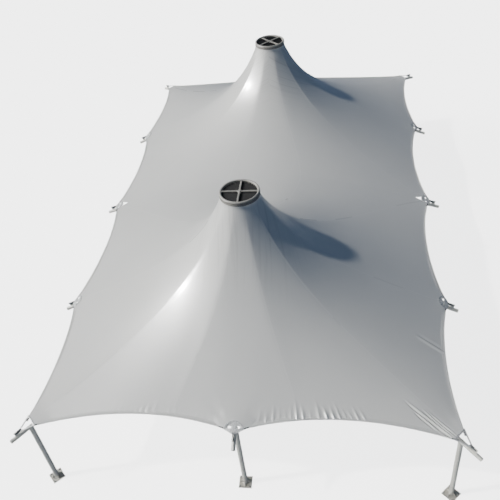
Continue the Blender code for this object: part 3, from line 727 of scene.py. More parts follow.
# Middle along the edge and half width in metres, how abruptly it ends, and share of the height
PUCKER_GROUPS = [(2.75, 0.95, 4, 1.0), (1.2, 0.55, 2, 0.6)]
FAN_HEIGHT, FAN_START, FAN_REACH, FAN_WAVES = 0.004, 0.3, 1.1, (13, 17, 11, 13)
SEAM_RISE, SEAM_REACH = 0.005, 0.35
SWELL_HEIGHT = 0.004


def crease(points, start, finish_at, width, height):
    """A ridge with a groove beside it, along a line seen from above, fading at its ends.

    Ridge and groove are exp(-sharpness * d^2), with d the distance from each in line widths.
    """
    line = np.subtract(finish_at, start)
    length = np.linalg.norm(line)
    rel = points[..., :2] - start
    along = rel @ line / length**2
    off = (rel[..., 0] * line[1] - rel[..., 1] * line[0]) / length / width
    fade = smooth_step(along / 0.25) * smooth_step((1.05 - along) / 0.15)
    ridge = np.exp(-((off - CREASE_PARTING) ** 2) * CREASE_SHARPNESS)
    groove = np.exp(-((off + CREASE_PARTING) ** 2) * CREASE_SHARPNESS)
    return height * fade * (ridge - GROOVE_SHARE * groove)


def folds(points, strength):
    """Height of the folds along the cloth's normal, in metres. Strength is 1 at the front right."""
    x, y = points[..., 0], points[..., 1]
    # Puckers are cosine ridges across the front hem, in two groups, uneven in height and length
    edge_run = round_distance[:, -1:]
    zone = sum(part * np.exp(-(((edge_run - at) / half) ** power)) for at, half, power, part in PUCKER_GROUPS)
    uneven = 0.65 + 0.35 * np.sin(edge_run * 7.3 + 1)
    reach = 0.24 + 0.07 * np.sin(edge_run * 11.0)
    lean = 2 * math.pi * edge_run / PUCKER_PITCH + 1.5 * np.sin(edge_run * 4.1) - PUCKER_LEAN * edge_distance
    ridge = ((1 + np.cos(lean)) / 2) ** 2
    in_front = (fine_turns < SECTOR_TURNS[1])[:, None]
    height = strength * PUCKER_HEIGHT * zone * uneven * np.exp(-((edge_distance / reach) ** 2))
    height = height * ridge * in_front
    if strength == 1:
        height = height + sum(crease(points, *line) for line in CREASES)
    # Tension waves fan out from each plate
    for which in range(4):
        local = (points - CORNERS[which]) @ plate_frames[which]
        reach = np.hypot(local[..., 0], local[..., 1])
        fan = FAN_HEIGHT * np.cos(np.arctan2(local[..., 0], -local[..., 1]) * FAN_WAVES[which] + which)
        fan = fan * smooth_step((reach - FAN_START) / FAN_START)
        height = height + fan * np.exp(-((reach / FAN_REACH) ** 2))
    # The cloth is flatter along each seam, and swells a little all over
    beside_seam = 1 - smooth_step(seam_distance / SEAM_REACH)
    flatter = SEAM_RISE * beside_seam * smooth_step((ring_distance - 2.5) / 1.5)
    height = height + flatter * smooth_step(edge_distance / 1.2)
    height = height + SWELL_HEIGHT * (np.sin(x * 1.7 + 0.6 * y) * np.sin(y * 1.3 - 0.4 * x))
    # Nothing moves on the lines where quarters meet, at the plates, or on the collar
    still = smooth_step(np.abs(x) / 0.5) * smooth_step(np.abs(y) / 0.5)
    held = np.where((cut < 1)[:, None], smooth_step(edge_distance / 0.05), 1.0)
    return height * still * held * smooth_step(ring_distance / 0.6)


def sheet_normals(points):
    """Upward unit normals from the differences along and round the net."""
    normals = unit(np.cross(np.gradient(points, axis=1), np.gradient(points, axis=0)))
    return np.where(normals[..., 2:] < 0, -normals, normals)


normals = sheet_normals(sheet)
print("highest fold:", round(float(folds(sheet, 1.0).max()) * 1000), "mm")

# %% Four quarters become one sheet
# Signs of x and y, strength of the folds, and steps between the columns kept at the end and at
# the side: away from the front right corner fewer columns are enough
QUARTERS = [
    (1, 1, 1.0, 1, 1),
    (-1, 1, 0.3, 2, 2),
    (1, -1, 0.0, 6, 3),
    (-1, -1, 0.0, 6, 3),
]
parts, values, faces, start = [], [], [], 0
for flip_x, flip_y, strength, end_step, side_step in QUARTERS:
    columns = np.concatenate([
        np.arange(0, fine_starts[1], end_step),
        np.arange(fine_starts[1], fine_starts[2], side_step),
        np.arange(fine_starts[2], len(sheet)),
    ])
    raised = sheet + normals * folds(sheet, strength)[..., None]
    parts.append((raised[columns] * (flip_x, flip_y, 1)).reshape(-1, 3))
    measures = [seam_distance, rim_distance, ring_distance, flip_x * round_distance, ring_distance]
    values.append(np.stack(measures, -1)[columns].reshape(-1, len(measures)))
    quads = grid_faces(len(columns), sheet.shape[1]) + start
    faces.append(quads if flip_x * flip_y > 0 else quads[:, ::-1])
    start += len(parts[-1])
points, values, faces = np.concatenate(parts), np.concatenate(values), np.concatenate(faces)
_, first, same = np.unique(points.round(5), axis=0, return_index=True, return_inverse=True)
points, values, faces = points[first], values[first], same.ravel()[faces]

# %% The canopy's mesh
canopy_mesh = bpy.data.meshes.new("canopy_cloth")
canopy_mesh.from_pydata(points.tolist(), [], faces.tolist())
if np.mean([polygon.normal.z for polygon in canopy_mesh.polygons]) < 0:
    canopy_mesh.flip_normals()
canopy_mesh.shade_smooth()
for column, label in enumerate(("seam_distance", "edge_distance", "ring_distance")):
    measure = canopy_mesh.attributes.new(label, "FLOAT", "POINT")
    measure.data.foreach_set("value", values[:, column].astype(np.float32))
woven_map = canopy_mesh.uv_layers.new(name="cloth_metres")
loop_points = np.zeros(len(canopy_mesh.loops), np.int32)
canopy_mesh.loops.foreach_get("vertex_index", loop_points)
woven_map.data.foreach_set("uv", values[loop_points, 3:5].astype(np.float32).ravel())
canopy_mesh.materials.append(coated_cloth)
canopy = bpy.data.objects.new("canopy_cloth", canopy_mesh)
bpy.context.scene.collection.objects.link(canopy)
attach(canopy, "root")
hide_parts(*[n for n in frame["nodes"] if n.startswith("membrane_") and "plate" not in n])
print("cloth points:", len(points))

# %% [markdown]
# ## Steel finishes
# The posts and masts are tube, hot-dip galvanised and then painted a light warm grey. Paint
# hides the zinc crystals but chalks a little in the sun and picks up splashes near the ground.
# The plates are left galvanised: dull zinc with crystals 10 to 25 mm across. Forks and bolts are
# zinc plated, smoother and darker. The forks and rope terminals are darker still. That dark grey is
# partly their zinc and partly painted shade, the dark of fittings that stand in shade. One function
# mixes two tones by a crystal pattern and a cloud pattern, and each finish gives it its own sizes.

# %% Steel finishes
# Ripples in the paint and the zinc are about 4.5 mm across, which is 1 / 220 m
GRAIN_SCALE, ROUGHNESS_SPREAD = 220.0, 0.12


def steel_finish(name, light, dark, metallic, roughness, crystal, cloud, grain, splash=0.0, shine=0.5):
    """A steel finish. Crystal, cloud and splash are sizes in metres, grain a bump height."""
    made, tree, shader = finish(name, {"Metallic": metallic, "Specular IOR Level": shine})
    place = node(tree, "ShaderNodeTexCoord", {}).outputs["Object"]
    cells = node(tree, "ShaderNodeTexVoronoi", {"Vector": place, "Scale": 1 / crystal}).outputs["Color"]
    cell = node(tree, "ShaderNodeSeparateColor", {"Color": cells}).outputs["Red"]
    cloud_feeds = {"Vector": place, "Scale": 1 / cloud, "Detail": 5.0, "Roughness": 0.6}
    clouds = node(tree, "ShaderNodeTexNoise", cloud_feeds).outputs["Fac"]
    blend = node(tree, "ShaderNodeMath", {0: cell, 1: clouds}, operation="MULTIPLY").outputs["Value"]
    share_feeds = {"Value": blend, "From Min": 0.05, "From Max": 0.55}
    share = node(tree, "ShaderNodeMapRange", share_feeds).outputs["Result"]
    tones = {SHARE: share, FIRST: linear(light), SECOND: linear(dark)}
    colour = node(tree, "ShaderNodeMix", tones, data_type="RGBA").outputs[MIXED]
    if splash:
        # Rain throws soil up the foot of a post, thickest at the ground
        height = node(tree, "ShaderNodeSeparateXYZ", {"Vector": place}).outputs["Z"]
        low_feeds = {"Value": height, "From Max": splash, "To Min": 0.8, "To Max": 0.0}
        low = node(tree, "ShaderNodeMapRange", low_feeds).outputs["Result"]
        soiled = node(tree, "ShaderNodeMath", {0: low, 1: clouds}, operation="MULTIPLY").outputs["Value"]
        soil = {SHARE: soiled, FIRST: colour, SECOND: linear("#7A7263")}
        colour = node(tree, "ShaderNodeMix", soil, data_type="RGBA").outputs[MIXED]
    rough_feeds = {"Value": share, "To Min": roughness, "To Max": roughness + ROUGHNESS_SPREAD}
    rough = node(tree, "ShaderNodeMapRange", rough_feeds).outputs["Result"]
    grain_feeds = {"Vector": place, "Scale": GRAIN_SCALE, "Detail": 3.0}
    fine = node(tree, "ShaderNodeTexNoise", grain_feeds).outputs["Fac"]
    relief = {"Height": fine, "Distance": grain, "Strength": 0.6}
    bump = node(tree, "ShaderNodeBump", relief).outputs["Normal"]
    feed(shader, {"Base Color": colour, "Roughness": rough, "Normal": bump})
    return made


painted_tube = steel_finish(
    "painted_steel_tube", "#B9B9B1", "#A2A299",
    metallic=0.0, roughness=0.42, crystal=0.020, cloud=0.30, grain=0.0006, splash=0.5,
)
galvanised_plate = steel_finish(
    "galvanised_steel_plate", "#C6C7C5", "#8C8F90",
    metallic=0.15, roughness=0.42, crystal=0.018, cloud=0.08, grain=0.0008,
)
# Forks and rope terminals: dark zinc, deepened with painted shade so they look as dark as fittings in shade
fork_zinc_and_shade = steel_finish(
    "zinc_plated_fork_and_shade", "#646665", "#474A4B",
    metallic=0.25, roughness=0.38, crystal=0.010, cloud=0.05, grain=0.0006,
)
zinc_bolt = steel_finish(
    "zinc_plated_bolt", "#8E908F", "#66696A",
    metallic=0.30, roughness=0.32, crystal=0.006, cloud=0.04, grain=0.0004,
)
ring_paint = steel_finish(
    "painted_ring_tube", "#94928B", "#7C7A74",
    metallic=0.0, roughness=0.45, crystal=0.015, cloud=0.12, grain=0.0008,
)
# Collar and clamp hoop: dark grey that is partly painted shade, the shaded band under the ring tube
hoop_steel_and_shade = steel_finish(
    "weathered_clamp_hoop", "#85837D", "#66645F",
    metallic=0.25, roughness=0.55, crystal=0.014, cloud=0.06, grain=0.0010,
)
# Louvre blades: near black, partly their paint and partly painted shade of the cone's inside below them
louvre_paint_and_shade = steel_finish(
    "dark_louvre_paint_and_shade", "#262626", "#181919",
    metallic=0.0, roughness=0.60, crystal=0.012, cloud=0.07, grain=0.0008, shine=0.15,
)
# The solid disc under the louvres: near black, painted shade standing in for the cone's shaded inside
vent_disc_painted_shade = steel_finish(
    "black_vent_disc_painted_shade", "#1E1F1F", "#151616",
    metallic=0.0, roughness=0.75, crystal=0.008, cloud=0.05, grain=0.0012, shine=0.1,
)
print("steel finishes ready")

# %% Rope and hem finishes
def rope_finish():
    """Galvanised wire rope: dull zinc with a grain about as fine as its outer wires."""
    made, tree, shader = finish("galvanised_wire_rope", {"Metallic": 0.6})
    place = node(tree, "ShaderNodeTexCoord", {}).outputs["Object"]
    # The zinc is darker in patches about 17 mm long
    clouds = node(tree, "ShaderNodeTexNoise", {"Vector": place, "Scale": 60.0, "Detail": 4.0}).outputs["Fac"]
    tones = {SHARE: clouds, FIRST: linear("#A6A8A6"), SECOND: linear("#6C6F70")}
    colour = node(tree, "ShaderNodeMix", tones, data_type="RGBA").outputs[MIXED]
    rough_feeds = {"Value": clouds, "To Min": 0.34, "To Max": 0.50}
    rough = node(tree, "ShaderNodeMapRange", rough_feeds).outputs["Result"]
    # One unit of this noise is 1 / 450 m, about 2 mm, the thickness of a wire
    wires = node(tree, "ShaderNodeTexNoise", {"Vector": place, "Scale": 450.0, "Detail": 1.0}).outputs["Fac"]
    relief = {"Height": wires, "Distance": 0.001, "Strength": 0.7}
    bump = node(tree, "ShaderNodeBump", relief).outputs["Normal"]
    feed(shader, {"Base Color": colour, "Roughness": rough, "Normal": bump})
    return made


def hem_finish():
    """The coated cloth again, folded and welded into a pocket: thicker, so with softer lines."""
    lacquer = {"Coat Weight": 0.35, "Coat Roughness": 0.25, "Coat IOR": 1.45}
    made, tree, shader = finish("welded_hem_cloth", lacquer)
    place = node(tree, "ShaderNodeTexCoord", {}).outputs["Object"]
    # The coat is uneven in patches about 330 mm long
    clouds = node(tree, "ShaderNodeTexNoise", {"Vector": place, "Scale": 3.0, "Detail": 4.0}).outputs["Fac"]
    tones = {SHARE: clouds, FIRST: linear("#C8C8C4"), SECOND: linear("#BABBB7")}
    colour = node(tree, "ShaderNodeMix", tones, data_type="RGBA").outputs[MIXED]
    rough_feeds = {"Value": clouds, "To Min": 0.38, "To Max": 0.50}
    rough = node(tree, "ShaderNodeMapRange", rough_feeds).outputs["Result"]
    # A dimpled weld pattern about 10 mm apart, as the heated roller leaves it
    dimples = node(tree, "ShaderNodeTexVoronoi", {"Vector": place, "Scale": 100.0}).outputs["Distance"]
    relief = {"Height": dimples, "Distance": 0.0008, "Strength": 0.6}
    bump = node(tree, "ShaderNodeBump", relief).outputs["Normal"]
    feed(shader, {"Base Color": colour, "Roughness": rough, "Normal": bump})
    return made


wire_rope, hem_cloth = rope_finish(), hem_finish()
for name in frame["nodes"]:
    if name.startswith(("edge_post", "mast")):
        for material_slot in bpy.data.objects[name].material_slots:
            material_slot.material = painted_tube
print("finishes made:", len(bpy.data.materials))

# %% [markdown]
# ## Hem pockets and edge ropes
# Every scalloped edge is a rope in a welded pocket. The pocket is a long drop-shaped tube: the
# cloth wraps the rope and its tail is welded back onto the sheet. It stops short of the plates,
# and there the bare rope shows, laid from six strands, and ends in a pressed terminal with a
# fork. Each edge is one path taken from the fine net, so pocket and rope follow it exactly.

# %% Paths along the edges
# The name of each edge, and the two fixed points of the quarter that it joins
EDGE_NAMES = (("{end}_{side}", 0, 1), ("{side}_{end}_outer", 1, 2), ("{side}_{end}_inner", 2, 3))
ROPE_START, POCKET_START, POCKET_SPACING = 0.345, 0.44, 0.09
edge_normals = sheet_normals(fine_net)[:, -1]


def place_name(label, flip_x, flip_y):
    """The label with front or rear put in for the sign of y, and right or left for that of x."""
    end = "front" if flip_y > 0 else "rear"
    side = "right" if flip_x > 0 else "left"
    return label.format(end=end, side=side)


def edge_path(first, last, start, shares=None):
    """Points along the edge between two fixed points, start metres clear of both, with frames.

    Shares of the length, from 0 to 1, say where they lie, or else they are evenly spaced.
    """
    line = fine_edge[fine_starts[first] : fine_starts[last] + 1]
    normal = edge_normals[fine_starts[first] : fine_starts[last] + 1]
    travelled = np.append(0, np.cumsum(np.linalg.norm(np.diff(line, axis=0), axis=1)))
    length = travelled[-1] - 2 * start
    if shares is None:
        shares = np.linspace(0, 1, round(length / POCKET_SPACING) + 1)
    stops = start + length * shares
    centres = np.stack([np.interp(stops, travelled, line[:, axis]) for axis in range(3)], 1)
    upward = unit(np.stack([np.interp(stops, travelled, normal[:, axis]) for axis in range(3)], 1))
    tangents = unit(np.gradient(centres, axis=0))
    across = unit(np.cross(tangents, upward))
    return centres, across, np.cross(across, tangents), stops


print("edges in a quarter:", [place_name(label, 1, 1) for label, *_ in EDGE_NAMES])

# %% Pockets and ropes
ROPE_RADIUS, STRAND_RADIUS, LAY_LENGTH, ROPE_SIDES = 0.014, 0.0045, 0.16, 24
POCKET_RADIUS, POCKET_TAIL = 0.021, 0.085

# A drop shape round the rope, with a thin tail lying inward along the cloth: (across, upward)
turn = np.radians(np.linspace(-140, 140, 13))
drop_loop = np.concatenate([
    POCKET_RADIUS * np.stack([np.cos(turn), np.sin(turn)], 1),
    [[-0.035, 0.008], [-POCKET_TAIL, 0.0035]],
    [[-POCKET_TAIL - 0.001, 0.0]],
    [[-POCKET_TAIL, -0.0035], [-0.035, -0.008]],
])
# The rope's points lie closest near its two ends, where it shows
rope_shares = np.concatenate([
    np.linspace(0, 0.06, 13),
    np.linspace(0.06, 0.94, 45)[1:-1],
    np.linspace(0.94, 1, 13),
])
# Six strands: radius - half a strand * (1 - |cos(3 * turn)|), twisted once in each lay length
rope_turn = np.arange(ROPE_SIDES) * 2 * math.pi / ROPE_SIDES
lobes = ROPE_RADIUS - STRAND_RADIUS * 0.5 * (1 - np.abs(np.cos(3 * rope_turn)))

hems, terminal_frames = [], []
for label, first, last in EDGE_NAMES:
    centres, across, upward, _ = edge_path(first, last, POCKET_START)
    half_way = len(centres) // 2
    from_mast = centres[half_way] - (0, -MAST_Y, 0)
    outward = 1 if from_mast @ across[half_way] > 0 else -1
    pocket = swept(centres, across * outward, upward, drop_loop)
    centres, across, upward, stops = edge_path(first, last, ROPE_START, rope_shares)
    twist = rope_turn[None] + 2 * math.pi * stops[:, None] / LAY_LENGTH
    rope = swept(centres, across, upward, np.stack([lobes * np.cos(twist), lobes * np.sin(twist)], 2))
    for end, step in ((0, 1), (-1, -1)):
        along = unit(centres[end + step] - centres[end])
        sideways = unit(np.cross(along, upward[end]))
        terminal_frames.append(np.column_stack([along, sideways, np.cross(along, sideways), centres[end]]))
    for flip_x in (1, -1):
        for flip_y in (1, -1):
            name = place_name(label, flip_x, flip_y)
            cloth_shapes, rope_shapes = [mirrored(pocket, flip_x, flip_y)], [mirrored(rope, flip_x, flip_y)]
            hems.append(piece("hem_pocket_" + name, cloth_shapes, hem_cloth, sharp=60))
            solid = ["edge_cable_" + name]
            piece("edge_rope_" + name, rope_shapes, wire_rope, solid, sharp=70)
print("hem pockets:", len(hems), " terminals in a quarter:", len(terminal_frames))

# %% Pressed terminals
# A sleeve pressed onto the rope, a shoulder, and a fork of two flat jaws with a pin
TERMINAL_PROFILE = [
    (0.0, 0.085),
    (0.0165, 0.085),
    (0.0195, 0.075),
    (0.0205, 0.0),
    (0.0205, -0.012),
    (0.026, -0.018),
    (0.026, -0.034),
    (0.021, -0.040),
    (0.0, -0.040),
]
TERMINAL_PIN, JAW_END, JAW_ROOT, JAW_HALF_WIDTH = -0.085, -0.105, -0.036, 0.022
JAW_INNER, JAW_OUTER = 0.010, 0.017


def box(low, high, edge=0.0015):
    """A block between two corners with its upright edges and rims rounded off."""
    (x0, y0, z0), (x1, y1, z1) = low, high
    return slab(rounded_rectangle(x0, x1, y0, y1, edge), z0, z1, edge)


terminal = [
    along_x(turned(TERMINAL_PROFILE, 16)),
    box((JAW_END, -JAW_HALF_WIDTH, JAW_INNER), (JAW_ROOT, JAW_HALF_WIDTH, JAW_OUTER)),
    box((JAW_END, -JAW_HALF_WIDTH, -JAW_OUTER), (JAW_ROOT, JAW_HALF_WIDTH, -JAW_INNER)),
    placed(rod(0.010, -0.024, 0.024, 12), [(TERMINAL_PIN, 0, 0)]),
]
quarter = copied(joined(terminal), np.array(terminal_frames))
terminals = [mirrored(quarter, flip_x, flip_y) for flip_x in (1, -1) for flip_y in (1, -1)]
# The terminals take the fork finish, whose dark grey is partly painted shade
piece("rope_terminals", terminals, fork_zinc_and_shade)
print("rope terminals:", len(terminals) * len(terminal_frames))

# %% [markdown]
# ## Membrane plates
# The plate is cut from sheet steel, so a flat curve with holes is the natural tool: Blender fills
# it between its outlines and gives it a thickness with rounded rims. It is made a mesh at once.
# A second, thin strip clamps the cloth from above with a row of bolts. At the corners the plate
# is an open triangle: two narrow arms from the nose to the ears and a straight clamp bar.

# %% Cut plates and bolts
def cut_plate(loops, low, high, edge):
    """A plate between two heights from its outline and hole loops, rims rounded by the edge."""
    curve = bpy.data.curves.new("cut", "CURVE")
    curve.dimensions, curve.fill_mode = "2D", "BOTH"
    curve.extrude, curve.offset = (high - low) / 2 - edge, -edge
    curve.bevel_depth, curve.bevel_resolution = edge, 1
    for loop in loops:
        spline = curve.splines.new("POLY")
        spline.points.add(len(loop) - 1)
        spots = np.column_stack([loop, np.zeros(len(loop)), np.ones(len(loop))])
        spline.points.foreach_set("co", spots.ravel())
        spline.use_cyclic_u = True
    holder = bpy.data.objects.new("cut", curve)
    mesh = bpy.data.meshes.new_from_object(holder)
    points = np.zeros(3 * len(mesh.vertices))
    mesh.vertices.foreach_get("co", points)
    faces = [list(polygon.vertices) for polygon in mesh.polygons]
    bpy.data.objects.remove(holder)
    return points.reshape(-1, 3) + (0, 0, (low + high) / 2), faces


def hexagon_bolt(size, stud=0.0):
    """Washer, hexagon head and, where asked, a stud end: head width across corners is 2 * size."""
    low, high = size * 0.2, size * 1.05
    head = [(0, low), (size, low), (size, size * 0.9), (size * 0.86, high), (0, high)]
    parts = [rod(size * 1.35, 0, size * 0.25, 16), turned(head, 6)]
    if stud:
        top = size + stud
        end = [(0, size), (size * 0.5, size), (size * 0.5, top - 0.003), (size * 0.4, top), (0, top)]
        parts.append(turned(end, 10))
    return joined(parts)


print("faces of a bolt:", len(hexagon_bolt(0.01)[1]))

# %% Sizes that the plates share
PLATE_LOW, PLATE_HIGH, PLATE_RIM = -0.008, 0.008, 0.003
STRIP_LOW, STRIP_HIGH, STRIP_RIM = 0.0112, 0.0185, 0.0015
NOSE = np.array([[0.050, 0.066], [0.030, 0.078], [-0.030, 0.078], [-0.050, 0.066]])
ROPE_CLEAR, BOLT_SIZE, BOLT_SINK = 0.28, 0.0085, 0.0005


def cable_turns(which):
    """Turns of the two edge ropes seen from the fixed point, measured from straight inward."""
    start = fine_starts[which]
    reach = np.linalg.norm(fine_edge - fine_edge[start], axis=1)
    before = np.flatnonzero(reach[: start + 1] > ROPE_CLEAR)[-1:]
    after = start + np.flatnonzero(reach[start:] > ROPE_CLEAR)[:1]
    local = [(fine_edge[spot] - fine_edge[start]) @ plate_frames[which] for spot in (before, after)]
    # At the middle of an end or a side the quarter holds one rope, and the other mirrors it
    if which == 0:
        local[0] = local[1] * (-1, 1, 1)
    if which == 3:
        local[1] = local[0] * (-1, 1, 1)
    return np.array(sorted(math.atan2(spot[0, 0], -spot[0, 1]) for spot in local))


def polar(radius, turn):
    """Plate coordinates of a radius and a turn from straight inward."""
    return np.stack([radius * np.sin(turn), -radius * np.cos(turn)], -1)


def strip_bolts(spots):
    """Bolts at these plate coordinates, their washers sunk a little into the clamp strip."""
    heights = np.full(len(spots), STRIP_HIGH - BOLT_SINK)
    return placed(hexagon_bolt(BOLT_SIZE), np.column_stack([spots, heights]))


print("ropes at a corner:", np.degrees(cable_turns(1)).round(1), "degrees from straight inward")

# %% Round plates
ARC_RADIUS, STRIP_OUTER, STRIP_INNER, BOLT_ARC, ARC_BOLTS = 0.287, 0.289, 0.243, 0.266, 9
WINDOW_SIDE, WINDOW_DOWN, WINDOW_HALF_WIDTH, WINDOW_HALF_HEIGHT = 0.118, -0.112, 0.050, 0.034


def round_plate(which):
    """A half-moon plate with two oval windows and a curved clamp strip with its bolts."""
    low, high = cable_turns(which) + (-0.12, 0.12)
    rim = polar(ARC_RADIUS, np.linspace(low, high, 33))
    oval = circle(1, 28) * (WINDOW_HALF_WIDTH, WINDOW_HALF_HEIGHT)
    windows = [oval + (side * WINDOW_SIDE, WINDOW_DOWN) for side in (-1, 1)]
    body = cut_plate([np.concatenate([rim, NOSE]), *windows], PLATE_LOW, PLATE_HIGH, PLATE_RIM)
    turns = np.linspace(low + 0.02, high - 0.02, 33)
    strip_loop = np.concatenate([polar(STRIP_OUTER, turns), polar(STRIP_INNER, turns[::-1])])
    strip = cut_plate([strip_loop], STRIP_LOW, STRIP_HIGH, STRIP_RIM)
    bolt_turns = np.linspace(low + 0.14, high - 0.14, ARC_BOLTS)
    return joined([body, strip]), strip_bolts(polar(BOLT_ARC, bolt_turns))


round_kinds = {which: round_plate(which) for which in (0, 2, 3)}
print("faces of the round plates:", [len(steel[1]) for steel, _ in round_kinds.values()])

# %% Corner plate
EAR_REACH, EAR_TURN, FRAME_WIDTH, BAR_BOLTS = 0.395, 0.085, 0.044, 8
BAR_BEHIND, BAR_AHEAD, STRIP_INSET, STRIP_WIDTH = 0.045, 0.004, 0.012, 0.040


def corner_plate():
    """A triangular frame: two arms from the nose to the ears, and a straight clamp bar."""
    low, high = cable_turns(1)
    ears = polar(EAR_REACH, np.array([low - EAR_TURN, high + EAR_TURN]))
    bar_far, bar_near = -CLAMP_BAR - BAR_BEHIND, -CLAMP_BAR + BAR_AHEAD
    arms = []
    for ear, start in zip(ears, (NOSE[3], NOSE[0])):
        along = unit(ear - start)
        inward = np.array([-along[1], along[0]])
        inward *= np.sign(inward @ (np.array([0, -0.2]) - start))
        inner = start + inward * FRAME_WIDTH
        # Where the arm's outer and inner lines reach the clamp bar, and the inner line the middle
        outer_far = start + along * (bar_far - start[1]) / along[1]
        inner_near = inner + along * (bar_near - inner[1]) / along[1]
        inner_low = inner + along * (0 - inner[0]) / along[0]
        arms.append((outer_far, inner_near, inner_low))
    (left_far, left_near, left_low), (right_far, right_near, right_low) = arms
    outline = np.array([left_far, right_far, *NOSE])
    apex = (left_low + right_low) / 2
    window = np.array([left_near, right_near, apex + (0.010, -0.018), apex + (-0.010, -0.018)])
    body = cut_plate([outline, window], PLATE_LOW, PLATE_HIGH, PLATE_RIM)
    strip_far = [left_far + (STRIP_INSET, 0), right_far + (-STRIP_INSET, 0)]
    strip_near = [right_far + (-STRIP_INSET, STRIP_WIDTH), left_far + (STRIP_INSET, STRIP_WIDTH)]
    strip = cut_plate([np.array(strip_far + strip_near)], STRIP_LOW, STRIP_HIGH, STRIP_RIM)
    along_bar = np.linspace(left_far[0] + 0.035, right_far[0] - 0.035, BAR_BOLTS)
    bolt_spots = np.column_stack([along_bar, np.full(BAR_BOLTS, bar_far + STRIP_WIDTH / 2)])
    return joined([body, strip]), strip_bolts(bolt_spots)


plate_kinds = {**round_kinds, 1: corner_plate()}
print("faces of the corner plate:", len(plate_kinds[1][0][1]))

# %% Place the plates
FIXED_POINTS = [
    *((0, 1, flip_y, "{end}_middle") for flip_y in (1, -1)),
    *((3, flip_x, 1, "{side}_middle") for flip_x in (1, -1)),
    *((1, flip_x, flip_y, "{end}_{side}") for flip_x in (1, -1) for flip_y in (1, -1)),
    *((2, flip_x, flip_y, "{side}_{end}") for flip_x in (1, -1) for flip_y in (1, -1)),
]


def place_frame(which, flip_x, flip_y):
    """The plate's frame as 3 x 4, mirrored to the fixed point it belongs to."""
    flip = np.array([flip_x, flip_y, 1])[:, None]
    return np.column_stack([plate_frames[which], CORNERS[which]]) * flip


clamp_bolts = []
for which, flip_x, flip_y, label in FIXED_POINTS:
    name = place_name(label, flip_x, flip_y)
    place = place_frame(which, flip_x, flip_y)[None]
    steel, bolts = plate_kinds[which]
    shapes, solid = [copied(steel, place)], ["membrane_plate_" + name]
    piece("clamp_plate_" + name, shapes, galvanised_plate, solid)
    clamp_bolts.append(copied(bolts, place))
piece("clamp_bolts", clamp_bolts, zinc_bolt)
print("plates:", len(FIXED_POINTS))

# %% [markdown]
# ## Forks, pins and tube ends
# The plate pulls on the post through a fork: two cheeks welded to the plate's nose, either side
# of the post's lug, with a pin through all three. The CAD post keeps its lug, its foot plate and
# its stiffeners. Its tubes have sixteen flat sides, so a round tube is fitted over each of them,
# with a fillet weld at the foot. The arm's ends are closed with shallow pressed caps, and each
# foot is held by four anchor bolts.

# %% Forks
FORK_START, FORK_PIN, TAPER_LENGTH, TAPER_SHARE = 0.020, 0.198, 0.05, 0.62
CHEEK_GAP, CHEEK_THICKNESS, CHEEK_HALF_HEIGHT, CHEEK_RIM = 0.0135, 0.011, 0.034, 0.002
PIN_RADIUS, PIN_HEAD_RADIUS, PIN_HEAD_HEIGHT, PIN_OVERHANG = 0.013, 0.019, 0.009, 0.012

turn = np.radians(np.linspace(-90, 90, 13))
root_height = CHEEK_HALF_HEIGHT * TAPER_SHARE
cheek_loop = np.concatenate([
    [[FORK_START, root_height], [FORK_START, -root_height]],
    [[FORK_START + TAPER_LENGTH, -CHEEK_HALF_HEIGHT]],
    CHEEK_HALF_HEIGHT * np.stack([np.cos(turn), np.sin(turn)], 1) + (FORK_PIN, 0),
    [[FORK_START + TAPER_LENGTH, CHEEK_HALF_HEIGHT]],
])
# The cheek is cut in its own plane and stood up: (out, up, side) becomes (side, out, up)
cheek = along_x(cut_plate([cheek_loop], CHEEK_GAP, CHEEK_GAP + CHEEK_THICKNESS, CHEEK_RIM))
cheeks = joined([mirrored(cheek, side, 1) for side in (1, -1)])
pin_half = CHEEK_GAP + CHEEK_THICKNESS + PIN_OVERHANG
pin_profile = [
    (0, -pin_half),
    (PIN_RADIUS - 0.002, -pin_half),
    (PIN_RADIUS, -pin_half + 0.002),
    (PIN_RADIUS, pin_half - PIN_HEAD_HEIGHT),
    (PIN_HEAD_RADIUS, pin_half - PIN_HEAD_HEIGHT),
    (PIN_HEAD_RADIUS, pin_half - 0.002),
    (PIN_HEAD_RADIUS - 0.002, pin_half),
    (0, pin_half),
]
pin = placed(along_x(turned(pin_profile, 16)), [(0, FORK_PIN, 0)])
fork_frames = np.array([place_frame(which, x, y) for which, x, y, _ in FIXED_POINTS])
# The cheeks take the fork finish, whose dark grey is partly painted shade
piece("post_forks", [copied(cheeks, fork_frames)], fork_zinc_and_shade)
piece("fork_pins", [copied(pin, fork_frames)], zinc_bolt)
print("forks:", len(fork_frames))

# %% Round tubes, caps and anchor bolts
POST_RADIUS, MAST_RADIUS, TUBE_COVER, TUBE_SINK = 0.070, 0.1095, 0.0007, 0.0005
POST_FOOT, MAST_FOOT, MAST_TOP = 0.020, 0.028, RING_HEIGHT - 0.42
POST_INSET, ARM_DROP, ARM_INNER, ARM_OUTER, ARM_RADIUS = 0.22, 0.150, 0.42, 0.45, 0.057
CAP_COVER, CAP_LIP, CAP_RISE = 0.0008, 0.004, 0.019
POST_BOLT_OFFSETS, MAST_BOLT_OFFSETS = (-0.145, 0.145), (-0.25, 0.25)
ANCHOR_SIZE, ANCHOR_STUD = 0.018, 0.028


def upright_tube(radius, low, high):
    """A round tube whose foot widens into a fillet weld 8 mm wide and 10 mm high."""
    profile = [
        (0, low),
        (radius + 0.008, low),
        (radius + 0.006, low + 0.004),
        (radius + 0.001, low + 0.008),
        (radius, low + 0.010),
        (radius, high - 0.002),
        (radius - 0.002, high),
        (0, high),
    ]
    return turned(profile, 48)


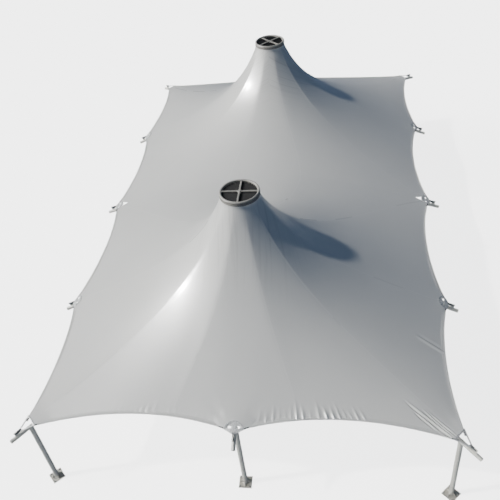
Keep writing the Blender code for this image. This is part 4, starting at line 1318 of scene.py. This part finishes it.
turn = np.radians(np.linspace(0, 90, 7))
cap_radius = ARM_RADIUS + CAP_COVER
cap_dome = np.stack([cap_radius * np.cos(turn), 0.001 + CAP_RISE * np.sin(turn)], 1)
cap = turned(np.concatenate([[[0, -CAP_LIP], [cap_radius, -CAP_LIP]], cap_dome]), 24)
arm = rod(ARM_RADIUS + TUBE_COVER, -ARM_INNER, ARM_OUTER, 32)
foot_bolts, caps = [], []
for which, flip_x, flip_y, label in FIXED_POINTS:
    frame_of_plate = place_frame(which, flip_x, flip_y)
    out, point = frame_of_plate[:, 1], frame_of_plate[:, 3]
    flat = unit(out * (1, 1, 0))
    across = np.array([-flat[1], flat[0], 0])
    up = np.cross(out, across)
    up = up if up[2] > 0 else -up
    middle = point - up * ARM_DROP
    for reach, way in ((ARM_OUTER, 1), (-ARM_INNER, -1)):
        caps.append(np.column_stack([up, across, out * way, middle + out * reach]))
    foot = point * (1, 1, 0) - flat * POST_INSET
    # The post ends on the axis of the arm, which rises inwards from its middle
    top = middle[2] - out[2] * POST_INSET / math.hypot(out[0], out[1])
    post = upright_tube(POST_RADIUS + TUBE_COVER, POST_FOOT - TUBE_SINK, top + TUBE_COVER)
    arm_frame = np.column_stack([up, across, out, middle])
    shapes = [placed(post, [foot]), copied(arm, arm_frame[None])]
    piece("post_tube_" + place_name(label, flip_x, flip_y), shapes, painted_tube)
    for a in POST_BOLT_OFFSETS:
        foot_bolts += [foot + flat * a + across * b + (0, 0, POST_FOOT) for b in POST_BOLT_OFFSETS]
for end, y in (("rear", MAST_Y), ("front", -MAST_Y)):
    post = upright_tube(MAST_RADIUS + TUBE_COVER, MAST_FOOT - TUBE_SINK, MAST_TOP - 0.001)
    piece("mast_tube_" + end, [placed(post, [(0, y, 0)])], painted_tube)
    for a in MAST_BOLT_OFFSETS:
        foot_bolts += [np.array([a, y + b, MAST_FOOT]) for b in MAST_BOLT_OFFSETS]
piece("arm_end_caps", [copied(cap, np.array(caps))], painted_tube)
anchor_bolt = hexagon_bolt(ANCHOR_SIZE, stud=ANCHOR_STUD)
piece("anchor_bolts", [placed(anchor_bolt, foot_bolts)], zinc_bolt)
print("caps:", len(caps), " anchor bolts:", len(foot_bolts))

# %% [markdown]
# ## Ring heads
# Each cone ends in a ring: a light tube on a short collar, with a cross of two bars and a hub.
# The cloth is turned up round the collar and held by a flat steel hoop with bolts. Collar and hoop
# are darker than the tube, and that dark grey is partly painted shade: the shaded band under the
# tube. Louvre blades under the cross let warm air out and keep most of the rain off. The blades,
# and the solid disc behind them that takes the place of a bird mesh, are near black: painted shade
# of the cone's inside seen through the ring.

# %% Rings, crosses and hubs
# Radii and widths first, then heights above the level where the cloth reaches the ring
RING_SIDES = 96
RING_TUBE_MIDDLE, RING_TUBE_RADIUS, RING_TUBE_Z = 0.552, 0.036, RING_HEIGHT + 0.121
COLLAR_IN, COLLAR_OUT, COLLAR_LOW, COLLAR_HIGH = 0.529, 0.5755, RING_HEIGHT + 0.001, RING_HEIGHT + 0.095
HOOP_IN, HOOP_OUT, HOOP_LOW, HOOP_HIGH = 0.581, 0.588, RING_HEIGHT + 0.014, RING_HEIGHT + 0.074
HOOP_BOLTS, HOOP_BOLT_SIZE, HOOP_BOLT_SINK = 16, 0.008, 0.001
BAR_WIDTH, BAR_DEPTH, BAR_Z = 0.050, 0.036, RING_HEIGHT + 0.127
BAR_REACH = RING_TUBE_MIDDLE - 0.010
HUB_BOLT_RADIUS, HUB_BOLT_Z, HUB_BOLT_SIZE = 0.042, RING_HEIGHT + 0.1485, 0.005
HUB_LOW, HUB_HIGH = RING_HEIGHT + 0.105, RING_HEIGHT + 0.156
HUB_PROFILE = [
    (0, HUB_LOW),
    (0.054, HUB_LOW),
    (0.058, HUB_LOW + 0.004),
    (0.058, HUB_HIGH - 0.008),
    (0.054, HUB_HIGH - 0.004),
    (0.030, HUB_HIGH - 0.004),
    (0.026, HUB_HIGH - 0.0005),
    (0, HUB_HIGH),
]


def straight(start, end, across, section):
    """A straight level bar of this section between two points."""
    return swept(np.array([start, end]), np.tile(across, (2, 1)), np.tile((0, 0, 1), (2, 1)), section)


ring_tube = turned(circle(RING_TUBE_RADIUS, 16) + (RING_TUBE_MIDDLE, RING_TUBE_Z), RING_SIDES, closed=True)
collar_loop = rounded_rectangle(COLLAR_IN, COLLAR_OUT, COLLAR_LOW, COLLAR_HIGH, 0.003)
collar = turned(collar_loop, RING_SIDES, closed=True)
hoop_loop = rounded_rectangle(HOOP_IN, HOOP_OUT, HOOP_LOW, HOOP_HIGH, 0.002)
hoop = turned(hoop_loop, RING_SIDES, closed=True)
bar_low, bar_high = BAR_Z - BAR_DEPTH / 2, BAR_Z + BAR_DEPTH / 2
bar_section = rounded_rectangle(-BAR_WIDTH / 2, BAR_WIDTH / 2, bar_low, bar_high, 0.007)
bar = straight((0, -BAR_REACH, 0), (0, BAR_REACH, 0), (1, 0, 0), bar_section)
hub = turned(HUB_PROFILE, 32)
hub_turns = np.radians([45, 135, 225, 315])
hub_spots = HUB_BOLT_RADIUS * np.stack([np.cos(hub_turns), np.sin(hub_turns)], 1)
hub_bolts = placed(hexagon_bolt(HUB_BOLT_SIZE), np.column_stack([hub_spots, np.full(4, HUB_BOLT_Z)]))
# Each hoop bolt points straight out from the hoop, half way up it
bolt_radius, bolt_z = HOOP_OUT - HOOP_BOLT_SINK, (HOOP_LOW + HOOP_HIGH) / 2
hoop_frames = np.array([
    [
        [0, -math.sin(turn), math.cos(turn), bolt_radius * math.cos(turn)],
        [0, math.cos(turn), math.sin(turn), bolt_radius * math.sin(turn)],
        [1, 0, 0, bolt_z],
    ]
    for turn in np.arange(HOOP_BOLTS) * 2 * math.pi / HOOP_BOLTS + math.pi / HOOP_BOLTS
])
hoop_bolts = copied(hexagon_bolt(HOOP_BOLT_SIZE), hoop_frames)
print("bolts in a ring:", len(hub_turns) + HOOP_BOLTS)

# %% Louvres
BLADE_PITCH, BLADE_WIDTH, BLADE_THICKNESS, BLADE_TILT = 0.055, 0.046, 0.003, math.radians(32)
LOUVRE_Z, LOUVRE_RADIUS, BLADES_EACH_SIDE = RING_HEIGHT + 0.084, 0.522, 9
KING_POST_CLEARANCE = 0.050
# Size of the solid disc under the blades, whose near-black colour is painted shade
SHADE_DISC_IN, SHADE_DISC_OUT, SHADE_DISC_LOW, SHADE_DISC_HIGH = 0.046, 0.524, RING_HEIGHT + 0.058, RING_HEIGHT + 0.062

half_width, half_thickness = BLADE_WIDTH / 2, BLADE_THICKNESS / 2
blade_loop = rounded_rectangle(-half_width, half_width, -half_thickness, half_thickness, 0.0012)
cosine, sine = math.cos(BLADE_TILT), math.sin(BLADE_TILT)
blade_section = blade_loop @ np.array([[cosine, sine], [-sine, cosine]])
blades = []
for y in (np.arange(-BLADES_EACH_SIDE, BLADES_EACH_SIDE) + 0.5) * BLADE_PITCH:
    half_length = math.sqrt(LOUVRE_RADIUS**2 - (abs(y) + half_width) ** 2)
    if abs(y) > KING_POST_CLEARANCE + half_width:
        spans = [(-half_length, half_length)]
    else:
        # Blades beside the king post are in two halves
        spans = [(-half_length, -KING_POST_CLEARANCE), (KING_POST_CLEARANCE, half_length)]
    for x0, x1 in spans:
        blades.append(straight((x0, y, LOUVRE_Z), (x1, y, LOUVRE_Z), (0, 1, 0), blade_section))
# A solid disc under the blades, coloured near black as painted shade of the cone's inside
shade_disc_loop = [(SHADE_DISC_IN, SHADE_DISC_LOW), (SHADE_DISC_OUT, SHADE_DISC_LOW), (SHADE_DISC_OUT, SHADE_DISC_HIGH), (SHADE_DISC_IN, SHADE_DISC_HIGH)]
shade_disc = turned(shade_disc_loop, 64, closed=True)
print("louvre blades in a ring:", len(blades))

# %% Place the ring heads
RING_TURNS = {"front": (-MAST_Y, 0.0), "rear": (MAST_Y, math.radians(45))}


def turned_by(turn, y, shape):
    """A shape turned about the mast by an angle and set over its mast."""
    cosine, sine = math.cos(turn), math.sin(turn)
    spin = np.array([[cosine, -sine, 0, 0], [sine, cosine, 0, y], [0, 0, 1, 0]])
    return copied(shape, spin[None])


cross = [turned_by(0, 0, bar), turned_by(math.pi / 2, 0, bar)]
for end, (y, turn) in RING_TURNS.items():
    ring_pieces = [
        ("ring_tube_", [ring_tube, *cross, hub], ring_paint, "ring_head", ["ring_head_" + end]),
        # Collar and hoop carry painted shade, as do the louvres and the disc under them
        ("ring_hoop_", [collar, hoop], hoop_steel_and_shade, "ring_head", []),
        ("ring_bolts_", [hoop_bolts, hub_bolts], zinc_bolt, "ring_head", []),
        # The louvres and the disc under them are near black, painted shade of the cone's inside
        ("vent_louvres_", blades, louvre_paint_and_shade, "ring_screen", ["ring_screen_" + end]),
        ("vent_mesh_", [shade_disc], vent_disc_painted_shade, "ring_screen", []),
    ]
    for label, shapes, paint, slot, solids in ring_pieces:
        piece(label + end, [turned_by(turn, y, joined(shapes))], paint, solids)
print("ring heads:", len(RING_TURNS))

# %% [markdown]
# ## Finish
# The steel pieces are gathered into one collection, which alone takes the fill lamp for the legs.

STEEL_NAMES = ("edge_post", "mast", "arm_end", "anchor", "clamp_", "post_", "fork_pins")

# The steel of the legs takes the fill light that is kept off the cloth
for made in bpy.data.objects:
    if made.type == "MESH" and made.name.startswith(STEEL_NAMES):
        steel_alone.objects.link(made)
